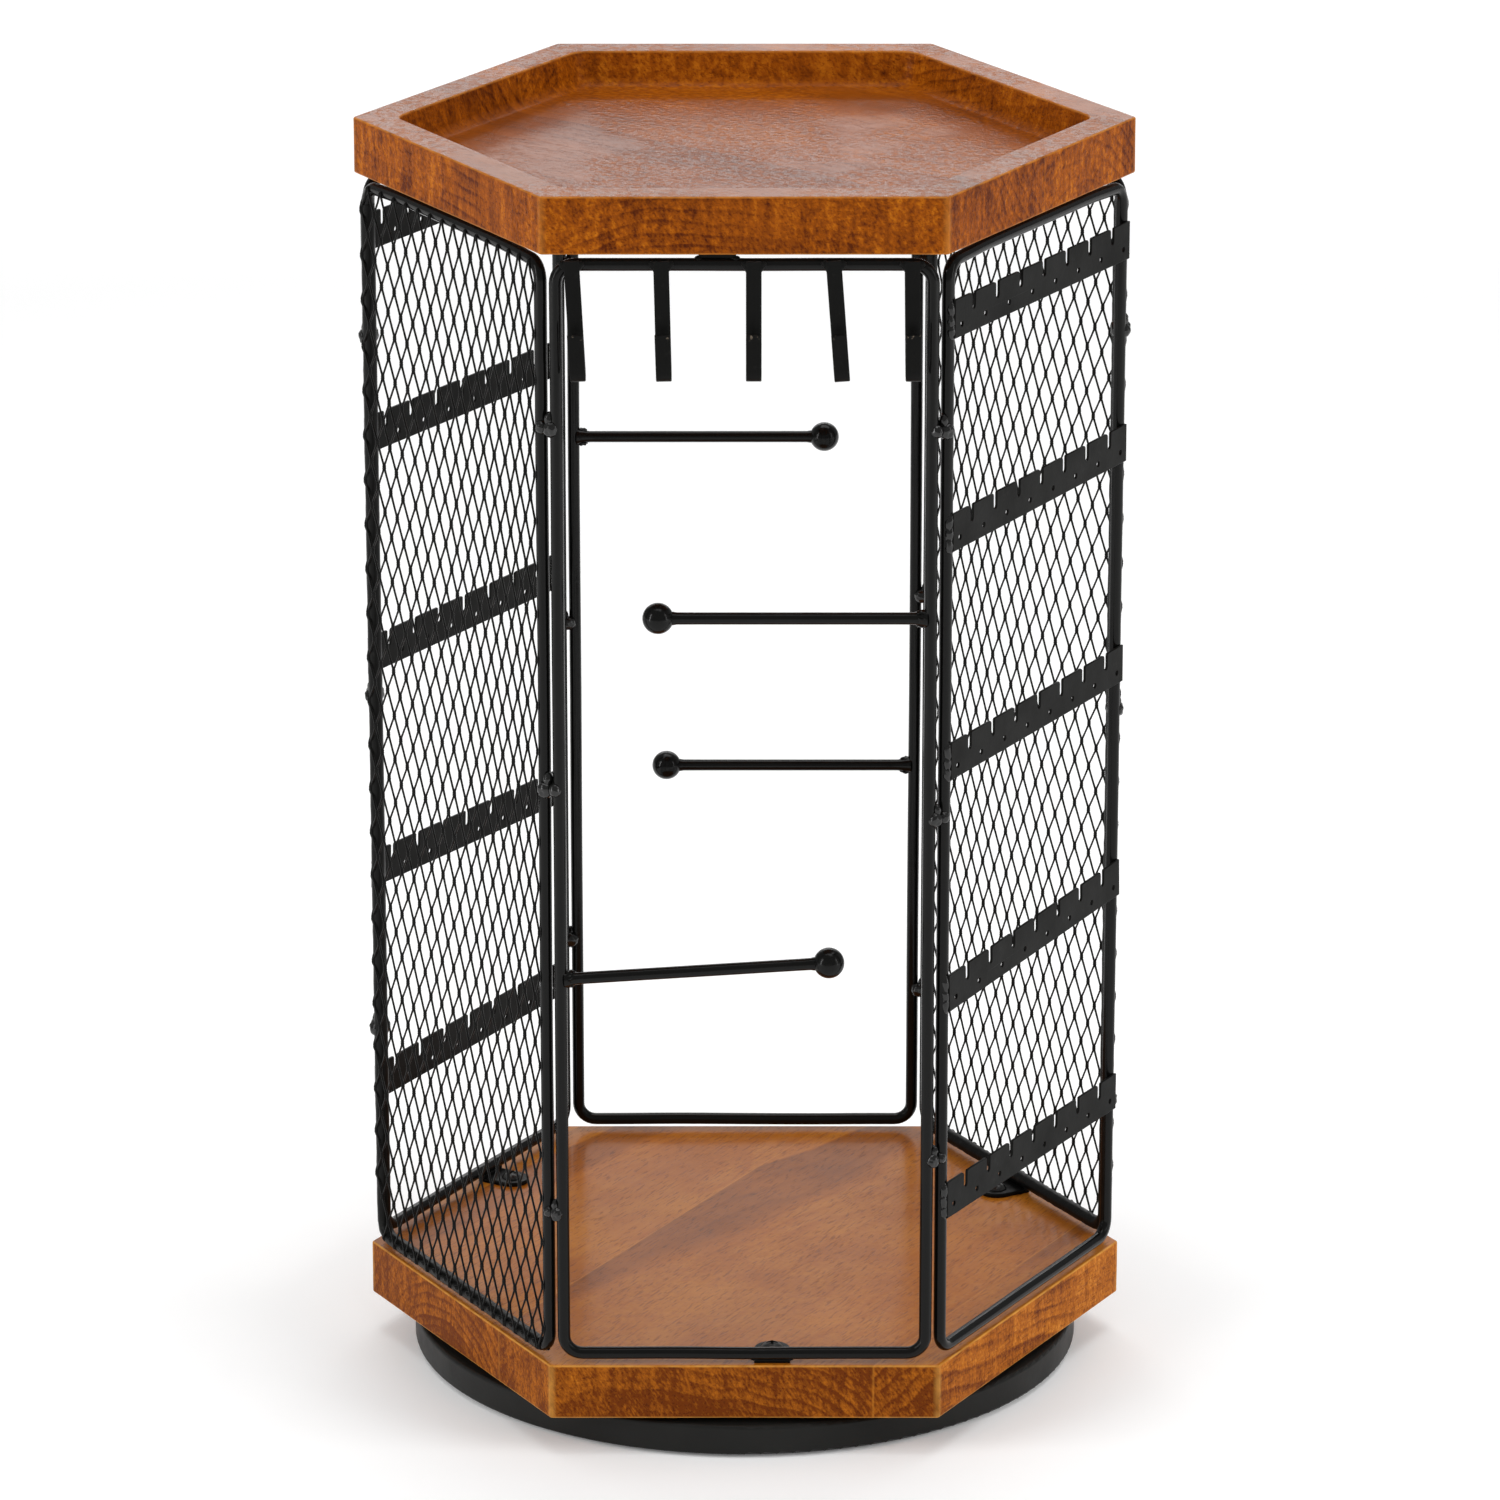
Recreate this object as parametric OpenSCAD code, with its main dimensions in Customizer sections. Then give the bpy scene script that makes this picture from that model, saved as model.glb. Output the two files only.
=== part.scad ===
// Rotating hexagonal display rack: a wooden tray on a welded wire cage that turns on a round stand.
// The origin is on the resting surface, under the turning axis. -Y is the open side with the hooks.

/* [Boards] */
// Side length of the hexagonal boards, which is also their corner radius
board_side = 130; // [126:1:150]
// Thickness of the base board
base_t = 19; // [16:0.5:24]
// Thickness of the top tray
tray_t = 19; // [16:0.5:24]
// Width of the rim around the tray recess
tray_rim = 12.5; // [9:0.5:20]
// Depth of the tray recess
tray_depth = 12; // [6:0.5:14]
// Corner radius of the tray recess
tray_corner_r = 8; // [3:0.5:14]
// Clear height between the base board and the tray
cage_h = 381.5; // [340:0.5:430]

/* [Stand] */
// Diameter of the round stand
disc_d = 230; // [190:1:240]
// Thickness of the round stand
disc_t = 10.6; // [9:0.1:16]
// Gap between the stand and the base board
disc_gap = 1.9; // [1.5:0.1:5]
// Height of the rubber feet under the stand
foot_h = 1; // [0.5:0.1:3]
// Diameter of one rubber foot
foot_d = 18; // [10:1:30]
// Outer diameter of the bearing plates
bearing_d = 100; // [96:1:120]
// Diameter of one bearing ball
ball_d = 4; // [3.6:0.1:4]
// Number of bearing balls
ball_count = 18; // [8:1:22]

/* [Wire frames] */
// Diameter of the frame wire with its coat
wire_d = 4.2; // [3:0.1:4.4]
// Outer width of one wire frame
frame_w = 124.7; // [118:0.1:124.8]
// Bend radius at the wire's centre line
bend_r = 6.2; // [4:0.1:12]
// Distance from the turning axis to the plane of each frame
frame_dist = 110; // [109.5:0.1:112]
// Radius of one weld bead at a corner of the cage
weld_r = 2.9; // [2.6:0.1:3.4]

/* [Fixing tabs and screws] */
// Width of a fixing tab
tab_w = 12; // [11:0.5:14]
// Thickness of a fixing tab
tab_t = 1.6; // [1:0.1:2.5]
// Distance of a tab's screw from the frame plane
tab_inset = 9.7; // [8.5:0.1:11]
// How far a tab's straight edge passes the frame plane
tab_reach = 0.4; // [0.2:0.1:2]
// Shank diameter of the wood screws
screw_d = 3.5; // [2.5:0.1:4]
// Length of a wood screw in the base board, under its head
base_screw_len = 15; // [8:0.5:15.5]
// Length of a wood screw in the tray, under its head
tray_screw_len = 6; // [5:0.5:6]

/* [Rails] */
// Height of an earring rail
rail_h = 12.8; // [10:0.1:16]
// Length of an earring rail
rail_len = 121.6; // [120:0.1:124]
// Sheet thickness of an earring rail
rail_t = 0.9; // [0.6:0.1:1.5]
// Distance between two notches, and between two holes
notch_pitch = 16.1; // [14:0.1:17]
// Width of a notch
notch_w = 2.2; // [1.5:0.1:3]
// Depth of a notch
notch_depth = 5.6; // [3:0.1:7]
// Diameter of a hole in a rail
rail_hole_d = 2.2; // [1.5:0.1:3]

/* [Mesh] */
// Strand width of the diamond mesh
strand_w = 1; // [0.6:0.1:1.5]
// Thickness of the diamond mesh
mesh_t = 1; // [0.6:0.1:1.5]
// Number of diamonds across one panel
mesh_cols = 15; // [10:1:18]
// Number of diamonds from bottom to top of one panel
mesh_rows = 24; // [16:1:28]
// How much wider than average the diamonds are along one upright edge, and narrower along the other
mesh_grade = 0.12; // [0:0.01:0.15]

/* [Hooks] */
// Width of a hook strip
hook_w = 5; // [4:0.1:7]
// Thickness of a hook strip
hook_t = 1.2; // [0.8:0.1:1.6]
// Clear throat of a hook
hook_gap = 5; // [4.5:0.1:7]
// Height of a hook from its welded end to its lowest point
hook_h = 38.5; // [30:0.5:50]
// Height of the outer lip of a hook
hook_lip = 16; // [8:0.5:20]

/* [Rods] */
// Diameter of a hanging rod
rod_d = 4; // [3:0.1:5]
// Distance from the frame wire to the centre of the rod's ball
rod_len = 88; // [60:1:92]
// Diameter of a rod's end ball
rod_ball_d = 10.2; // [8:0.1:14]
// Height of the upper rods above the base board
rod_upper_h = 260; // [240:1:280]
// Height of the lower rods above the base board
rod_lower_h = 138.5; // [120:0.5:160]
// Upward slope of the front lower rod, in degrees
front_rod_slope = 3.8; // [0:0.1:5]

/* [Hidden] */
$fn = 96;

// Directions in which the six sides face, as angles about the turning axis
FRONT = -90;
FRONT_RIGHT = -30;
BACK_RIGHT = 30;
BACK = 90;
BACK_LEFT = 150;
FRONT_LEFT = 210;
TAB_SIDES = [FRONT, BACK_RIGHT, BACK_LEFT];
// Sideways shift of each tab from the middle of its frame
BASE_TAB_SHIFTS = [9.2, -4.5, -8];
TRAY_TAB_SHIFTS = [-8.6, -5, -6];

// Heights above the resting surface
disc_z = foot_h;
base_z = disc_z + disc_t + disc_gap;
cage_z = base_z + base_t;
tray_z = cage_z + cage_h;
wire_r = wire_d / 2;
wire_low_z = cage_z + tab_t + wire_r;
wire_high_z = tray_z - tab_t - wire_r;
half_w = frame_w / 2 - wire_r;

// Heights of the rail centres above the base board
RAIL_HEIGHTS = [57.5, 133, 211.5, 289, 359.5];
// Slope of each rail, in degrees
RAIL_SLOPES = [-0.3, 2.2, 0.5, 0.5, 0];
// Heights of the weld beads above the base board, low to high, for the corners at 0, 60, ... degrees
WELD_HEIGHTS = [
    [53, 195, 328], [54, 202, 324], [73, 192, 323],
    [80, 200, 326], [54, 202, 324], [73, 192, 323]
];
// Place and lean of each hook, left to right as seen from outside
HOOK_PLACES = [-55, -26.5, 3, 28.5, 53.5];
HOOK_LEANS = [3, 1.3, 0, 4.3, 0.7];

// Bearing: heights and radii. The plates meet the balls half way up the bearing.
plate_t = 1.2;
bearing_gap = 8;
race_r = 40;
race_w = 8;
race_lip = 0.8;
groove_clear = 0.05;
recess_clear = 2;
bearing_z = base_z - bearing_gap;
ball_z = base_z - bearing_gap / 2;
rivet_r = 4;
rivet_head_r = 7;
rivet_head_h = 1.3;
dish_drop = 2;
dish_r = 15;
dish_slope = 4;
stand_screw_r = 46.8;
rack_screw_r = 28;
access_d = 10;
rack_screw_len = 13;
hook_top_rise = 1.6;
rod_seat = 2.5;
front_rod_h = rod_lower_h - 2.5;
cut = 1;

// Regular hexagon with corners on the X axis
module hexagon(corner_r) {
    circle(r = corner_r, $fn = 6);
}

// Places its children on one side of the cage: local X points outwards, Y runs along the side
module side(angle, dist = frame_dist) {
    rotate([0, 0, angle])
        translate([dist, 0, 0])
            children();
}

// Hexagonal prism with its long edges slightly eased
module board(thick) {
    ease = 0.6;
    hull() {
        translate([0, 0, ease])
            linear_extrude(thick - 2 * ease)
                hexagon(board_side);
        linear_extrude(thick)
            hexagon(board_side - ease);
    }
}

// Round-cornered hexagonal prism that is cut out of the tray
module tray_recess() {
    corner_dist = board_side - (tray_rim + tray_corner_r) / cos(30);
    linear_extrude(tray_depth + cut)
        union() {
            hexagon(corner_dist);
            for (angle = [0:60:300]) {
                rotate([0, 0, angle]) {
                    translate([corner_dist, 0])
                        circle(r = tray_corner_r);
                    rotate([0, 0, 30])
                        translate([0, -corner_dist / 2])
                            square([corner_dist * cos(30) + tray_corner_r, corner_dist]);
                }
            }
        }
}

module top_tray() {
    color([0.62, 0.30, 0.12])
        difference() {
            translate([0, 0, tray_z])
                board(tray_t);
            translate([0, 0, tray_z + tray_t - tray_depth])
                tray_recess();
            for (i = [0:2])
                screw_site(TAB_SIDES[i], TRAY_TAB_SHIFTS[i])
                    translate([0, 0, tray_z - cut])
                        cylinder(d = screw_d, h = tray_screw_len + cut);
        }
}

module base_board() {
    color([0.62, 0.30, 0.12])
        difference() {
            translate([0, 0, base_z])
                board(base_t);
            for (i = [0:2])
                screw_site(TAB_SIDES[i], BASE_TAB_SHIFTS[i])
                    translate([0, 0, cage_z - base_screw_len])
                        cylinder(d = screw_d, h = base_screw_len + cut);
            rack_screw_sites()
                translate([0, 0, base_z - cut])
                    cylinder(d = screw_d, h = rack_screw_len + cut);
        }
}

// One closed wire frame, in the YZ plane of its side
module wire_frame() {
    straight_w = 2 * (half_w - bend_r);
    for (z = [wire_low_z, wire_high_z])
        translate([0, 0, z])
            rotate([90, 0, 0])
                cylinder(r = wire_r, h = straight_w, center = true);
    for (y = [-half_w, half_w])
        translate([0, y, wire_low_z + bend_r])
            cylinder(r = wire_r, h = wire_high_z - wire_low_z - 2 * bend_r);
    for (corner = [0:3]) {
        y = (corner == 0 || corner == 3) ? half_w - bend_r : bend_r - half_w;
        z = corner < 2 ? wire_high_z - bend_r : wire_low_z + bend_r;
        translate([0, y, z])
            rotate([90, 0, 90])
                rotate([0, 0, 90 * corner])
                    rotate_extrude(angle = 90)
                        translate([bend_r, 0])
                            circle(r = wire_r);
    }
}

module frame(angle) {
    color([0.06, 0.06, 0.06])
        side(angle)
            wire_frame();
}

// Plain upright wires of all six frames, used to trim the beads to them
module upright_wires() {
    for (angle = [0:60:300])
        rotate([0, 0, angle + 30])
            for (y = [-half_w, half_w])
                translate([frame_dist, y, wire_low_z])
                    cylinder(r = wire_r, h = wire_high_z - wire_low_z);
}

// Weld beads that tie each pair of neighbouring upright wires, three to a corner
module corner_welds() {
    corner_r = frame_dist * cos(30) + half_w * sin(30);
    color([0.08, 0.08, 0.08])
        difference() {
            for (corner = [0:5])
                for (h = WELD_HEIGHTS[corner])
                    rotate([0, 0, 60 * corner])
                        translate([corner_r + 0.9, 0, cage_z + h])
                            sphere(r = weld_r);
            upright_wires();
        }
}

// Flat strip with open notches along its top edge and a row of holes below them
module rail_strip() {
    notch_r = notch_w / 2;
    hole_z = rail_h * 0.31;
    rotate([90, 0, 90])
        linear_extrude(rail_t)
            difference() {
                translate([-rail_len / 2, 0])
                    square([rail_len, rail_h]);
                for (i = [-3:3]) {
                    translate([i * notch_pitch, rail_h - notch_depth + notch_r])
                        circle(r = notch_r);
                    translate([i * notch_pitch - notch_r, rail_h - notch_depth + notch_r])
                        square([notch_w, notch_depth]);
                }
                for (i = [-4:3])
                    translate([(i + 0.5) * notch_pitch, hole_z])
                        circle(d = rail_hole_d);
            }
}

module rail(angle, level) {
    color([0.10, 0.10, 0.10])
        side(angle)
            translate([wire_r, 0, cage_z + RAIL_HEIGHTS[level]])
                rotate([RAIL_SLOPES[level], 0, 0])
                    translate([0, 0, -rail_h / 2])
                        rail_strip();
}

// Place across a mesh panel: the diamonds are a little wider towards one upright edge
function graded(y) = y + mesh_grade / 2 * (half_w - y * y / half_w);

// One diamond opening, whose strands bond at its left and right
module mesh_opening(y, z, pitch_y, pitch_z) {
    reach = 1 - strand_w / pitch_y;
    tip_z = (pitch_z / 2) * reach;
    polygon([
        [graded(y), z - tip_z], [graded(y + reach * pitch_y / 2), z],
        [graded(y), z + tip_z], [graded(y - reach * pitch_y / 2), z]
    ]);
}

module mesh_panel(angle) {
    panel_w = 2 * half_w;
    panel_h = wire_high_z - wire_low_z;
    border = 1.2;
    pitch_y = panel_w / mesh_cols;
    pitch_z = panel_h / mesh_rows;
    color([0.07, 0.07, 0.07])
        side(angle)
            translate([wire_r, 0, wire_low_z])
                rotate([90, 0, 90])
                    linear_extrude(mesh_t)
                        difference() {
                            translate([-panel_w / 2, 0])
                                square([panel_w, panel_h]);
                            intersection() {
                                translate([border - panel_w / 2, border])
                                    square([panel_w - 2 * border, panel_h - 2 * border]);
                                for (row = [0:2 * mesh_rows], col = [0:mesh_cols]) {
                                    shift = row % 2 == 0 ? 0 : 0.5;
                                    mesh_opening((col + shift) * pitch_y - panel_w / 2,
                                                 row * pitch_z / 2, pitch_y, pitch_z);
                                }
                            }
                        }
}

// Side outline of a hook, with X outwards and Y up from the lowest point
module hook_outline() {
    bend_in = hook_gap / 2;
    bend_out = bend_in + hook_t;
    square_h = hook_h - bend_out;
    translate([0, bend_out])
        square([hook_t, square_h]);
    translate([hook_gap + hook_t, bend_out])
        square([hook_t, hook_lip - bend_out]);
    difference() {
        translate([bend_out, bend_out])
            circle(r = bend_out);
        translate([bend_out, bend_out])
            circle(r = bend_in);
        translate([-cut, bend_out])
            square([2 * bend_out + 2 * cut, bend_out + cut]);
    }
}

module hook(angle, index) {
    color([0.07, 0.07, 0.07])
        side(angle)
            translate([wire_r, HOOK_PLACES[index], wire_high_z])
                rotate([HOOK_LEANS[index], 0, 0])
                    translate([0, hook_w / 2, -hook_h + hook_top_rise])
                        rotate([90, 0, 0])
                            linear_extrude(hook_w)
                                hook_outline();
}

// Places its children at the root of a rod, with local Z along the rod
module rod_root(angle, from_side, height, tilt) {
    side(angle)
        translate([0, from_side * half_w, cage_z + height])
            rotate([90 * from_side + tilt, 0, 0])
                children();
}

module rod(angle, from_side, height, tilt) {
    color([0.06, 0.06, 0.06])
        difference() {
            rod_root(angle, from_side, height, tilt)
                cylinder(d = rod_d, h = rod_len - rod_seat);
            side(angle)
                translate([0, from_side * half_w, cage_z + height - 10])
                    cylinder(r = wire_r, h = 20);
        }
}

module rod_ball(angle, from_side, height, tilt) {
    color([0.06, 0.06, 0.06])
        rod_root(angle, from_side, height, tilt)
            difference() {
                translate([0, 0, rod_len])
                    sphere(d = rod_ball_d);
                cylinder(d = rod_d, h = rod_len - rod_seat);
            }
}

// Places its children over one screw of a fixing tab
module screw_site(angle, shift) {
    side(angle, frame_dist - tab_inset)
        translate([0, shift, 0])
            children();
}

module tab(angle, shift, z) {
    color([0.07, 0.07, 0.07])
        difference() {
            side(angle, frame_dist - tab_inset)
                translate([0, shift, z])
                    linear_extrude(tab_t) {
                        circle(d = tab_w);
                        translate([0, -tab_w / 2])
                            square([tab_inset + tab_reach, tab_w]);
                    }
            screw_site(angle, shift)
                translate([0, 0, z - cut])
                    cylinder(d = screw_d, h = tab_t + 2 * cut);
        }
}

module base_tab(i) {
    tab(TAB_SIDES[i], BASE_TAB_SHIFTS[i], cage_z);
}

module tray_tab(i) {
    tab(TAB_SIDES[i], TRAY_TAB_SHIFTS[i], tray_z - tab_t);
}

// Round-headed wood screw, point down, with the underside of its head at the origin
module wood_screw(length) {
    head_r = 3.6;
    head_h = 2.2;
    point_h = 3;
    recess_w = 1;
    recess_l = 3.8;
    difference() {
        union() {
            translate([0, 0, point_h - length])
                cylinder(d = screw_d, h = length - point_h);
            translate([0, 0, -length])
                cylinder(d1 = 0.6, d2 = screw_d, h = point_h);
            intersection() {
                cylinder(r = head_r, h = head_h);
                translate([0, 0, head_h - 4.4])
                    sphere(r = 4.4);
            }
        }
        for (turn = [0, 90])
            rotate([0, 0, turn])
                translate([-recess_l / 2, -recess_w / 2, head_h - 1.3])
                    cube([recess_l, recess_w, 2]);
    }
}

module base_screws() {
    color([0.12, 0.12, 0.12])
        for (i = [0:2])
            screw_site(TAB_SIDES[i], BASE_TAB_SHIFTS[i])
                translate([0, 0, cage_z + tab_t])
                    wood_screw(base_screw_len);
}

module tray_screws() {
    color([0.12, 0.12, 0.12])
        for (i = [0:2])
            screw_site(TAB_SIDES[i], TRAY_TAB_SHIFTS[i])
                translate([0, 0, tray_z - tab_t])
                    mirror([0, 0, 1])
                        wood_screw(tray_screw_len);
}

// Places its children at the screws that hold the lower plate to the stand
module stand_screw_sites() {
    for (angle = [45:90:315])
        rotate([0, 0, angle])
            translate([stand_screw_r, 0, 0])
                children();
}

// Places its children at the screws that hold the upper plate to the base board
module rack_screw_sites() {
    for (angle = [0:90:270])
        rotate([0, 0, angle])
            translate([rack_screw_r, 0, 0])
                children();
}

module turntable_disc() {
    edge_r = 1.2;
    r = disc_d / 2;
    color([0.10, 0.10, 0.10])
        difference() {
            translate([0, 0, disc_z])
                rotate_extrude()
                    union() {
                        square([r - edge_r, disc_t]);
                        translate([0, edge_r])
                            square([r, disc_t - 2 * edge_r]);
                        translate([r - edge_r, edge_r])
                            circle(r = edge_r);
                        translate([r - edge_r, disc_t - edge_r])
                            circle(r = edge_r);
                    }
            translate([0, 0, bearing_z])
                cylinder(r = bearing_d / 2 + recess_clear, h = disc_t);
            translate([0, 0, bearing_z - rivet_head_h - 0.2])
                cylinder(r = rivet_head_r + 1, h = disc_t);
            translate([rack_screw_r, 0, 0])
                cylinder(d = access_d, h = disc_t);
            stand_screw_sites() {
                cylinder(d = 3, h = disc_t);
                cylinder(d = 6.6, h = disc_z + 2.2);
            }
        }
}

module rubber_feet() {
    foot_ring_r = 92;
    color([0.05, 0.05, 0.05])
        for (angle = [45:90:315])
            rotate([0, 0, angle])
                translate([foot_ring_r, 0, 0])
                    cylinder(d = foot_d, h = foot_h);
}

// Ring-shaped groove that the balls run in
module ball_groove() {
    translate([0, 0, ball_z])
        rotate_extrude()
            translate([race_r, 0])
                circle(r = ball_d / 2 + groove_clear);
}

module bearing_lower_plate() {
    color([0.70, 0.71, 0.72])
        difference() {
            union() {
                translate([0, 0, bearing_z])
                    cylinder(d = bearing_d, h = plate_t);
                translate([0, 0, bearing_z])
                    difference() {
                        cylinder(r = race_r + race_w / 2, h = bearing_gap / 2 - race_lip);
                        cylinder(r = race_r - race_w / 2, h = bearing_gap);
                    }
            }
            ball_groove();
            cylinder(r = rivet_r, h = base_z);
            translate([rack_screw_r, 0, 0])
                cylinder(d = access_d, h = base_z);
            stand_screw_sites()
                cylinder(d = 3, h = base_z);
        }
}

module bearing_upper_plate() {
    top_z = base_z;
    color([0.70, 0.71, 0.72])
        difference() {
            rotate_extrude()
                polygon([
                    [rivet_r + groove_clear, top_z - dish_drop],
                    [dish_r, top_z - dish_drop],
                    [dish_r + dish_slope, top_z],
                    [bearing_d / 2, top_z],
                    [bearing_d / 2, top_z - plate_t],
                    [race_r + race_w / 2, top_z - plate_t],
                    [race_r + race_w / 2, ball_z + race_lip],
                    [race_r - race_w / 2, ball_z + race_lip],
                    [race_r - race_w / 2, top_z - plate_t],
                    [dish_r + dish_slope, top_z - plate_t],
                    [dish_r, top_z - dish_drop - plate_t],
                    [rivet_r + groove_clear, top_z - dish_drop - plate_t]
                ]);
            ball_groove();
            rack_screw_sites()
                translate([0, 0, ball_z])
                    cylinder(d = screw_d, h = base_z);
        }
}

// Centres of the bearing balls
module ball_sites() {
    for (i = [0:ball_count - 1])
        rotate([0, 0, i * 360 / ball_count])
            translate([race_r, 0, ball_z])
                children();
}

module ball_retainer() {
    retainer_t = 0.8;
    retainer_w = 13;
    color([0.80, 0.78, 0.70])
        difference() {
            translate([0, 0, ball_z - retainer_t / 2])
                difference() {
                    cylinder(r = race_r + retainer_w / 2, h = retainer_t);
                    translate([0, 0, -cut])
                        cylinder(r = race_r - retainer_w / 2, h = retainer_t + 2 * cut);
                }
            ball_sites()
                cylinder(r = ball_d / 2 + groove_clear, h = 2, center = true);
        }
}

module bearing_balls() {
    color([0.85, 0.85, 0.87])
        ball_sites()
            sphere(d = ball_d);
}

// Rivet that holds the two plates together and keeps them on one axis
module centre_rivet() {
    head_clear = 0.3;
    top_head_z = base_z - dish_drop + head_clear;
    color([0.75, 0.76, 0.78])
        union() {
            translate([0, 0, bearing_z])
                cylinder(r = rivet_r, h = top_head_z - bearing_z);
            translate([0, 0, bearing_z - rivet_head_h])
                cylinder(r = rivet_head_r, h = rivet_head_h);
            translate([0, 0, top_head_z])
                cylinder(r = rivet_head_r, h = rivet_head_h);
        }
}

module stand_screws() {
    color([0.75, 0.76, 0.78])
        stand_screw_sites() {
            translate([0, 0, disc_z + 0.4])
                cylinder(d = 5.6, h = 1.8);
            translate([0, 0, disc_z + 2.2])
                cylinder(d = 3, h = bearing_z + plate_t - disc_z - 2.2);
        }
}

module rack_screws() {
    color([0.75, 0.76, 0.78])
        rack_screw_sites()
            translate([0, 0, base_z - plate_t])
                mirror([0, 0, 1])
                    wood_screw(rack_screw_len + plate_t);
}

top_tray();
base_board();
frame(FRONT);  // frame_front
frame(FRONT_RIGHT);  // frame_front_right
frame(BACK_RIGHT);  // frame_back_right
frame(BACK);  // frame_back
frame(BACK_LEFT);  // frame_back_left
frame(FRONT_LEFT);  // frame_front_left
corner_welds();
rail(FRONT_RIGHT, 0);  // rail_front_right_1
rail(FRONT_RIGHT, 1);  // rail_front_right_2
rail(FRONT_RIGHT, 2);  // rail_front_right_3
rail(FRONT_RIGHT, 3);  // rail_front_right_4
rail(FRONT_RIGHT, 4);  // rail_front_right_5
rail(BACK_LEFT, 0);  // rail_back_left_1
rail(BACK_LEFT, 1);  // rail_back_left_2
rail(BACK_LEFT, 2);  // rail_back_left_3
rail(BACK_LEFT, 3);  // rail_back_left_4
rail(BACK_LEFT, 4);  // rail_back_left_5
mesh_panel(FRONT_LEFT);  // mesh_front_left
mesh_panel(BACK_RIGHT);  // mesh_back_right
hook(FRONT, 0);  // hook_front_1
hook(FRONT, 1);  // hook_front_2
hook(FRONT, 2);  // hook_front_3
hook(FRONT, 3);  // hook_front_4
hook(FRONT, 4);  // hook_front_5
hook(BACK, 0);  // hook_back_1
hook(BACK, 1);  // hook_back_2
hook(BACK, 2);  // hook_back_3
hook(BACK, 3);  // hook_back_4
hook(BACK, 4);  // hook_back_5
rod(FRONT, 1, rod_upper_h, 0);  // rod_front_upper
rod(FRONT, -1, front_rod_h, front_rod_slope);  // rod_front_lower
rod(BACK, 1, rod_upper_h, 0);  // rod_back_upper
rod(BACK, -1, rod_lower_h, 0);  // rod_back_lower
rod_ball(FRONT, 1, rod_upper_h, 0);  // ball_front_upper
rod_ball(FRONT, -1, front_rod_h, front_rod_slope);  // ball_front_lower
rod_ball(BACK, 1, rod_upper_h, 0);  // ball_back_upper
rod_ball(BACK, -1, rod_lower_h, 0);  // ball_back_lower
base_tab(0);  // tab_bottom_front
base_tab(1);  // tab_bottom_back_right
base_tab(2);  // tab_bottom_back_left
tray_tab(0);  // tab_top_front
tray_tab(1);  // tab_top_back_right
tray_tab(2);  // tab_top_back_left
base_screws();
tray_screws();
turntable_disc();
rubber_feet();
bearing_lower_plate();
bearing_upper_plate();
ball_retainer();
bearing_balls();
centre_rivet();
stand_screws();
rack_screws();
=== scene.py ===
import math
from collections import namedtuple

import bmesh
import bpy
from mathutils import Matrix, Vector, noise


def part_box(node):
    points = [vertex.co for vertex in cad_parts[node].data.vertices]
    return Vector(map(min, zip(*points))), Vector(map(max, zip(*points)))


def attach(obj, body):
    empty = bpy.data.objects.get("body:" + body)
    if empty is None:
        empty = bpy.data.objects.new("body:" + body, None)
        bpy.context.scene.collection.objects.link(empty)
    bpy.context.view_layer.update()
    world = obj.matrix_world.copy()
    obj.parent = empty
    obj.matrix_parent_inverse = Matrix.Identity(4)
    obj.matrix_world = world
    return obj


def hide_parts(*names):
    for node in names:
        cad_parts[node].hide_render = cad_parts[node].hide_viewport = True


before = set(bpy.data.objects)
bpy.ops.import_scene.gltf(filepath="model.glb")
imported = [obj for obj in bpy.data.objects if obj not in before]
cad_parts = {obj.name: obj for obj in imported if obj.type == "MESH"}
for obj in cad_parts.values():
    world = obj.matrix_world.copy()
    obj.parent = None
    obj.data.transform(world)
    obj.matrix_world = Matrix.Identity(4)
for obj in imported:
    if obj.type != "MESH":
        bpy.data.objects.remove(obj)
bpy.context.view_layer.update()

# Looks of the rotating display rack: metres, +Z up, the axis on the Z axis, -Y is the open front.
# Every upright side has local directions: out, away from the axis; along, to the right seen from
# outside; and up.
MM = 0.001
FRONT, FRONT_RIGHT, BACK_RIGHT, BACK, BACK_LEFT, FRONT_LEFT = -90, -30, 30, 90, 150, 210
SIDES = {
    "front": FRONT,
    "front_right": FRONT_RIGHT,
    "back_right": BACK_RIGHT,
    "back": BACK,
    "back_left": BACK_LEFT,
    "front_left": FRONT_LEFT,
}
UP = Vector((0, 0, 1))
COS30 = math.cos(math.radians(30))
SIN30 = math.sin(math.radians(30))

# Driving sizes, read from the frame
base_low, base_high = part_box("base_board")
tray_low, tray_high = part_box("top_tray")
wire_low, wire_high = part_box("frame_front")
board_r = base_high.x
wire_r = (wire_high.y - wire_low.y) / 2
frame_dist = -(wire_high.y + wire_low.y) / 2
half_w = wire_high.x - wire_r
low_z = wire_low.z + wire_r
high_z = wire_high.z - wire_r
corner_dist = frame_dist * COS30 + half_w * SIN30
WIRE_BEND = 6.2 * MM


# ---- places

def out_of(angle):
    return Vector((math.cos(math.radians(angle)), math.sin(math.radians(angle)), 0))


def along_of(angle):
    return UP.cross(out_of(angle))


def on_side(angle, out, along, up):
    """Point given by its distance from the axis, its place along the side and its height."""
    return out_of(angle) * out + along_of(angle) * along + UP * up


def local_points(node, angle):
    """The points of a CAD node as (out, along, up) of one side."""
    out, along = out_of(angle), along_of(angle)
    return [Vector((v.co.dot(out), v.co.dot(along), v.co.z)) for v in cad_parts[node].data.vertices]


def box_of(points):
    """Lowest and highest corners of the box round some points."""
    low = Vector([min(p[i] for p in points) for i in range(3)])
    high = Vector([max(p[i] for p in points) for i in range(3)])
    return low, high


def middle(points):
    low, high = box_of(points)
    return (low + high) / 2


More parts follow.
